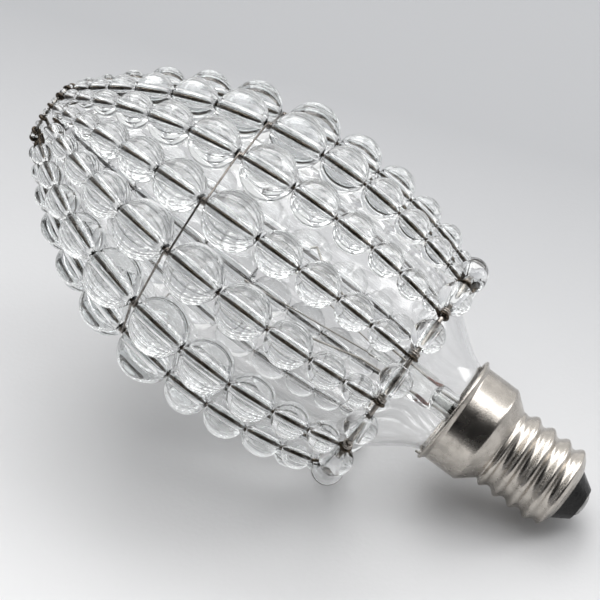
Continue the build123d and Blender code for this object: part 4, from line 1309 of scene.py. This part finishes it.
class BEADCOVER_OT_stage(CoverOperator, bpy.types.Operator):
    """Set the camera, the pale floor, the lamps and the surround"""

    bl_idname = "bead_cover.stage"
    bl_label = "Stage"

    def execute(self, context):
        stage = group("stage")
        toward = Vector((
            np.cos(stage.elevation) * np.cos(stage.azimuth),
            np.cos(stage.elevation) * np.sin(stage.azimuth),
            np.sin(stage.elevation),
        ))
        target = Vector(stage.target)
        level = Vector((0, 0, 1)).cross(toward).normalized()
        upright = toward.cross(level)
        turn = Matrix.Rotation(-stage.roll, 3, toward)
        right, up = turn @ level, turn @ upright
        axes = Matrix((right, up, toward)).transposed()

        camera_data = bpy.data.cameras.new("view_of_photo")
        camera_data.lens = stage.lens
        camera_data.clip_start = 0.01
        camera = bpy.data.objects.new("view_of_photo", camera_data)
        camera.matrix_world = Matrix.Translation(target + toward * stage.distance) @ axes.to_4x4()
        context.scene.collection.objects.link(camera)
        context.scene.camera = camera

        normal = up * np.cos(stage.floor_tilt) + toward * np.sin(stage.floor_tilt)
        ahead = normal.cross(right)
        middle = target + normal * (lowest_point(normal) - target.dot(normal))
        corners = [(-1, -1), (1, -1), (1, 1), (-1, 1)]
        points = [middle + right * x * FLOOR_REACH + ahead * y * FLOOR_REACH for x, y in corners]
        mesh = bpy.data.meshes.new("paper_floor")
        mesh.from_pydata(points, [], [(0, 1, 2, 3)])
        # Direction in which painted shade darkens the floor, for the lamps' falloff.
        painted_shade_toward = right * 0.45 + ahead * 0.89
        mesh.materials.append(self.paper(painted_shade_toward))
        floor = bpy.data.objects.new("paper_floor", mesh)
        context.scene.collection.objects.link(floor)

        def from_photo(place):
            """Vector of a place given as right, up and towards the camera."""
            return right * place[0] + up * place[1] + toward * place[2]

        def lamp(name, place, width, height, power, along=(0, 1, 0)):
            """Soft box aimed at the cover, its height along a direction, both as seen in the photo."""
            data = bpy.data.lights.new(name, "AREA")
            data.shape = "RECTANGLE"
            data.size, data.size_y, data.energy = width, height, power
            box = bpy.data.objects.new(name, data)
            offset = from_photo(place)
            facing = offset.normalized()
            sideways = from_photo(along).cross(facing).normalized()
            turned = Matrix((sideways, facing.cross(sideways), facing)).transposed()
            box.matrix_world = Matrix.Translation(target + offset) @ turned.to_4x4()
            context.scene.collection.objects.link(box)

        lamp("soft_box_behind", (-0.02, 0.60, 0.06), 0.40, 0.34, 1.65)
        lamp("panel_over_floor", (0.035, 0.54, 0.45), 0.64, 0.64, 2.7)
        lamp("soft_box_right", (0.50, 0.27, 0.16), 0.20, 0.80, 1.7, (-0.49, 0.43, 0.76))

        self.dark_card(context.scene, target + toward * CARD_DISTANCE, right, up)
        white_from = from_photo((0.35, 0.75, -0.56))
        self.surround(context.scene, white_from)
        return {"FINISHED"}

    def dark_card(self, scene, middle, along, across):
        """Round card of black felt behind the camera: P(t) = middle + R (cos t along + sin t across).

        Only metal and glass show it.
        """
        turn = np.linspace(0, 2 * np.pi, 48, endpoint=False)[:, None]
        circle = np.cos(turn) * np.array(along) + np.sin(turn) * np.array(across)
        rim = np.array(middle) + CARD_RADIUS * circle
        mesh = bpy.data.meshes.new("dark_card_behind_camera")
        mesh.from_pydata(rim.tolist(), [], [tuple(range(len(rim)))])
        mesh.materials.append(self.felt())
        card = bpy.data.objects.new("dark_card_behind_camera", mesh)
        scene.collection.objects.link(card)
        card.visible_camera = card.visible_diffuse = card.visible_shadow = False

    def felt(self):
        """Black felt on the card, which draws dark lines into metal and glass."""
        values = {"Base Color": (*linear("#0B0B0C"), 1), "Roughness": 1.0}
        material, tree, shader, place = new_finish("black_felt", values)
        bump(tree, shader, noise(tree, place, 1.5 * MM), 0.2 * MM)
        return material

    def paper(self, painted_shade_toward):
        """Paper seen from the front only: matt with a faint tooth, darkened along a direction by painted
        shade for the lamps' falloff.
        """
        material = bpy.data.materials.new("seamless_paper")
        material.use_nodes = True
        tree = material.node_tree
        tree.nodes.clear()
        front = add_node(tree, "ShaderNodeBsdfPrincipled", values={"Roughness": 0.9})
        place = add_node(tree, "ShaderNodeTexCoord").outputs["Object"]
        stage = group("stage")
        start = painted_shade_toward.dot(Vector(stage.target))
        low, high = (start + reach for reach in stage.painted_shade_span)
        run = reach_along(tree, place, painted_shade_toward)
        # Painted shade: the paper's colour runs darker away from the front, for the lamps' falloff.
        painted_shade = ramp(tree, run, low, high, tuple(stage.floor), tuple(stage.floor_behind_painted_shade))
        tree.links.new(painted_shade, front.inputs["Base Color"])
        bump(tree, front, noise(tree, place, 0.8 * MM), 0.02 * MM)
        back = add_node(tree, "ShaderNodeBsdfTransparent")
        side = add_node(tree, "ShaderNodeNewGeometry").outputs["Backfacing"]
        mixed = add_node(tree, "ShaderNodeMixShader", links={"Fac": side})
        tree.links.new(front.outputs["BSDF"], mixed.inputs[1])
        tree.links.new(back.outputs["BSDF"], mixed.inputs[2])
        add_node(tree, "ShaderNodeOutputMaterial", links={"Surface": mixed.outputs["Shader"]})
        return material

    def surround(self, scene, white_from):
        """Even pale light from all round, and for metal and glass a studio that is white on one side."""
        world = bpy.data.worlds.new("pale_surround")
        scene.world = world
        world.use_nodes = True
        tree = world.node_tree
        tree.nodes.clear()
        ray = add_node(tree, "ShaderNodeLightPath").outputs
        seen = add_node(tree, "ShaderNodeMath", {"operation": "MAXIMUM"})
        tree.links.new(ray["Is Camera Ray"], seen.inputs[0])
        tree.links.new(ray["Is Glossy Ray"], seen.inputs[1])
        also = add_node(tree, "ShaderNodeMath", {"operation": "MAXIMUM"})
        tree.links.new(seen.outputs["Value"], also.inputs[0])
        tree.links.new(ray["Is Transmission Ray"], also.inputs[1])
        stage = group("stage")
        values = {"Color": (*stage.surround, 1), "Strength": 0.4}
        ambient = add_node(tree, "ShaderNodeBackground", values=values)
        direction = add_node(tree, "ShaderNodeTexCoord").outputs["Generated"]
        side = reach_along(tree, direction, white_from)
        studio = ramp(tree, side, -0.1, 0.7, tuple(stage.studio), tuple(stage.white_side))
        shown = add_node(tree, "ShaderNodeBackground", values={"Strength": 1.0}, links={"Color": studio})
        mixed = add_node(tree, "ShaderNodeMixShader", links={"Fac": also.outputs["Value"]})
        tree.links.new(ambient.outputs["Background"], mixed.inputs[1])
        tree.links.new(shown.outputs["Background"], mixed.inputs[2])
        add_node(tree, "ShaderNodeOutputWorld", links={"Surface": mixed.outputs["Shader"]})


STEPS = ("rib_beads", "ring_beads", "rib_wires", "ring_wires", "tie_wire", "bulb_glass", "glass_mount")
STEPS += ("leads", "filament", "cap_shell", "cap_foot", "stage")
GROUPS = {"beads": BeadSizes, "wires": WireSizes, "bulb": BulbSizes, "cap": CapSizes}
GROUPS |= {"finishes": Finishes, "stage": StageSettings}


class BEADCOVER_PT_panel(bpy.types.Panel):
    """Sizes, colours and steps of the bead cover."""

    bl_label = "Bead bulb cover"
    bl_space_type = "VIEW_3D"
    bl_region_type = "UI"
    bl_category = "Bulb Cover"

    def draw(self, context):
        for name, kind in GROUPS.items():
            box = self.layout.box()
            box.label(text=kind.__doc__)
            for field in kind.__annotations__:
                box.prop(group(name), field)
        for step in STEPS:
            self.layout.operator(f"bead_cover.{step}")


OPERATORS = (
    BEADCOVER_OT_rib_beads,
    BEADCOVER_OT_ring_beads,
    BEADCOVER_OT_rib_wires,
    BEADCOVER_OT_ring_wires,
    BEADCOVER_OT_tie_wire,
    BEADCOVER_OT_bulb_glass,
    BEADCOVER_OT_glass_mount,
    BEADCOVER_OT_leads,
    BEADCOVER_OT_filament,
    BEADCOVER_OT_cap_shell,
    BEADCOVER_OT_cap_foot,
    BEADCOVER_OT_stage,
)
CLASSES = (*GROUPS.values(), *OPERATORS, BEADCOVER_PT_panel)


def register():
    """Register the classes and hang the settings on the scene."""
    for kind in CLASSES:
        bpy.utils.register_class(kind)
    for name, kind in GROUPS.items():
        setattr(bpy.types.Scene, f"bead_cover_{name}", PointerProperty(type=kind))


def unregister():
    """Take the settings off the scene and unregister the classes."""
    for name in GROUPS:
        delattr(bpy.types.Scene, f"bead_cover_{name}")
    for kind in reversed(CLASSES):
        bpy.utils.unregister_class(kind)


def main():
    """Build the cover, the bulb and the stage."""
    register()
    bpy.context.scene.view_settings.view_transform = "Standard"
    for step in STEPS:
        if getattr(bpy.ops.bead_cover, step)() != {"FINISHED"}:
            raise RuntimeError(f"the step {step} did not finish")


if __name__ == "__main__":
    main()
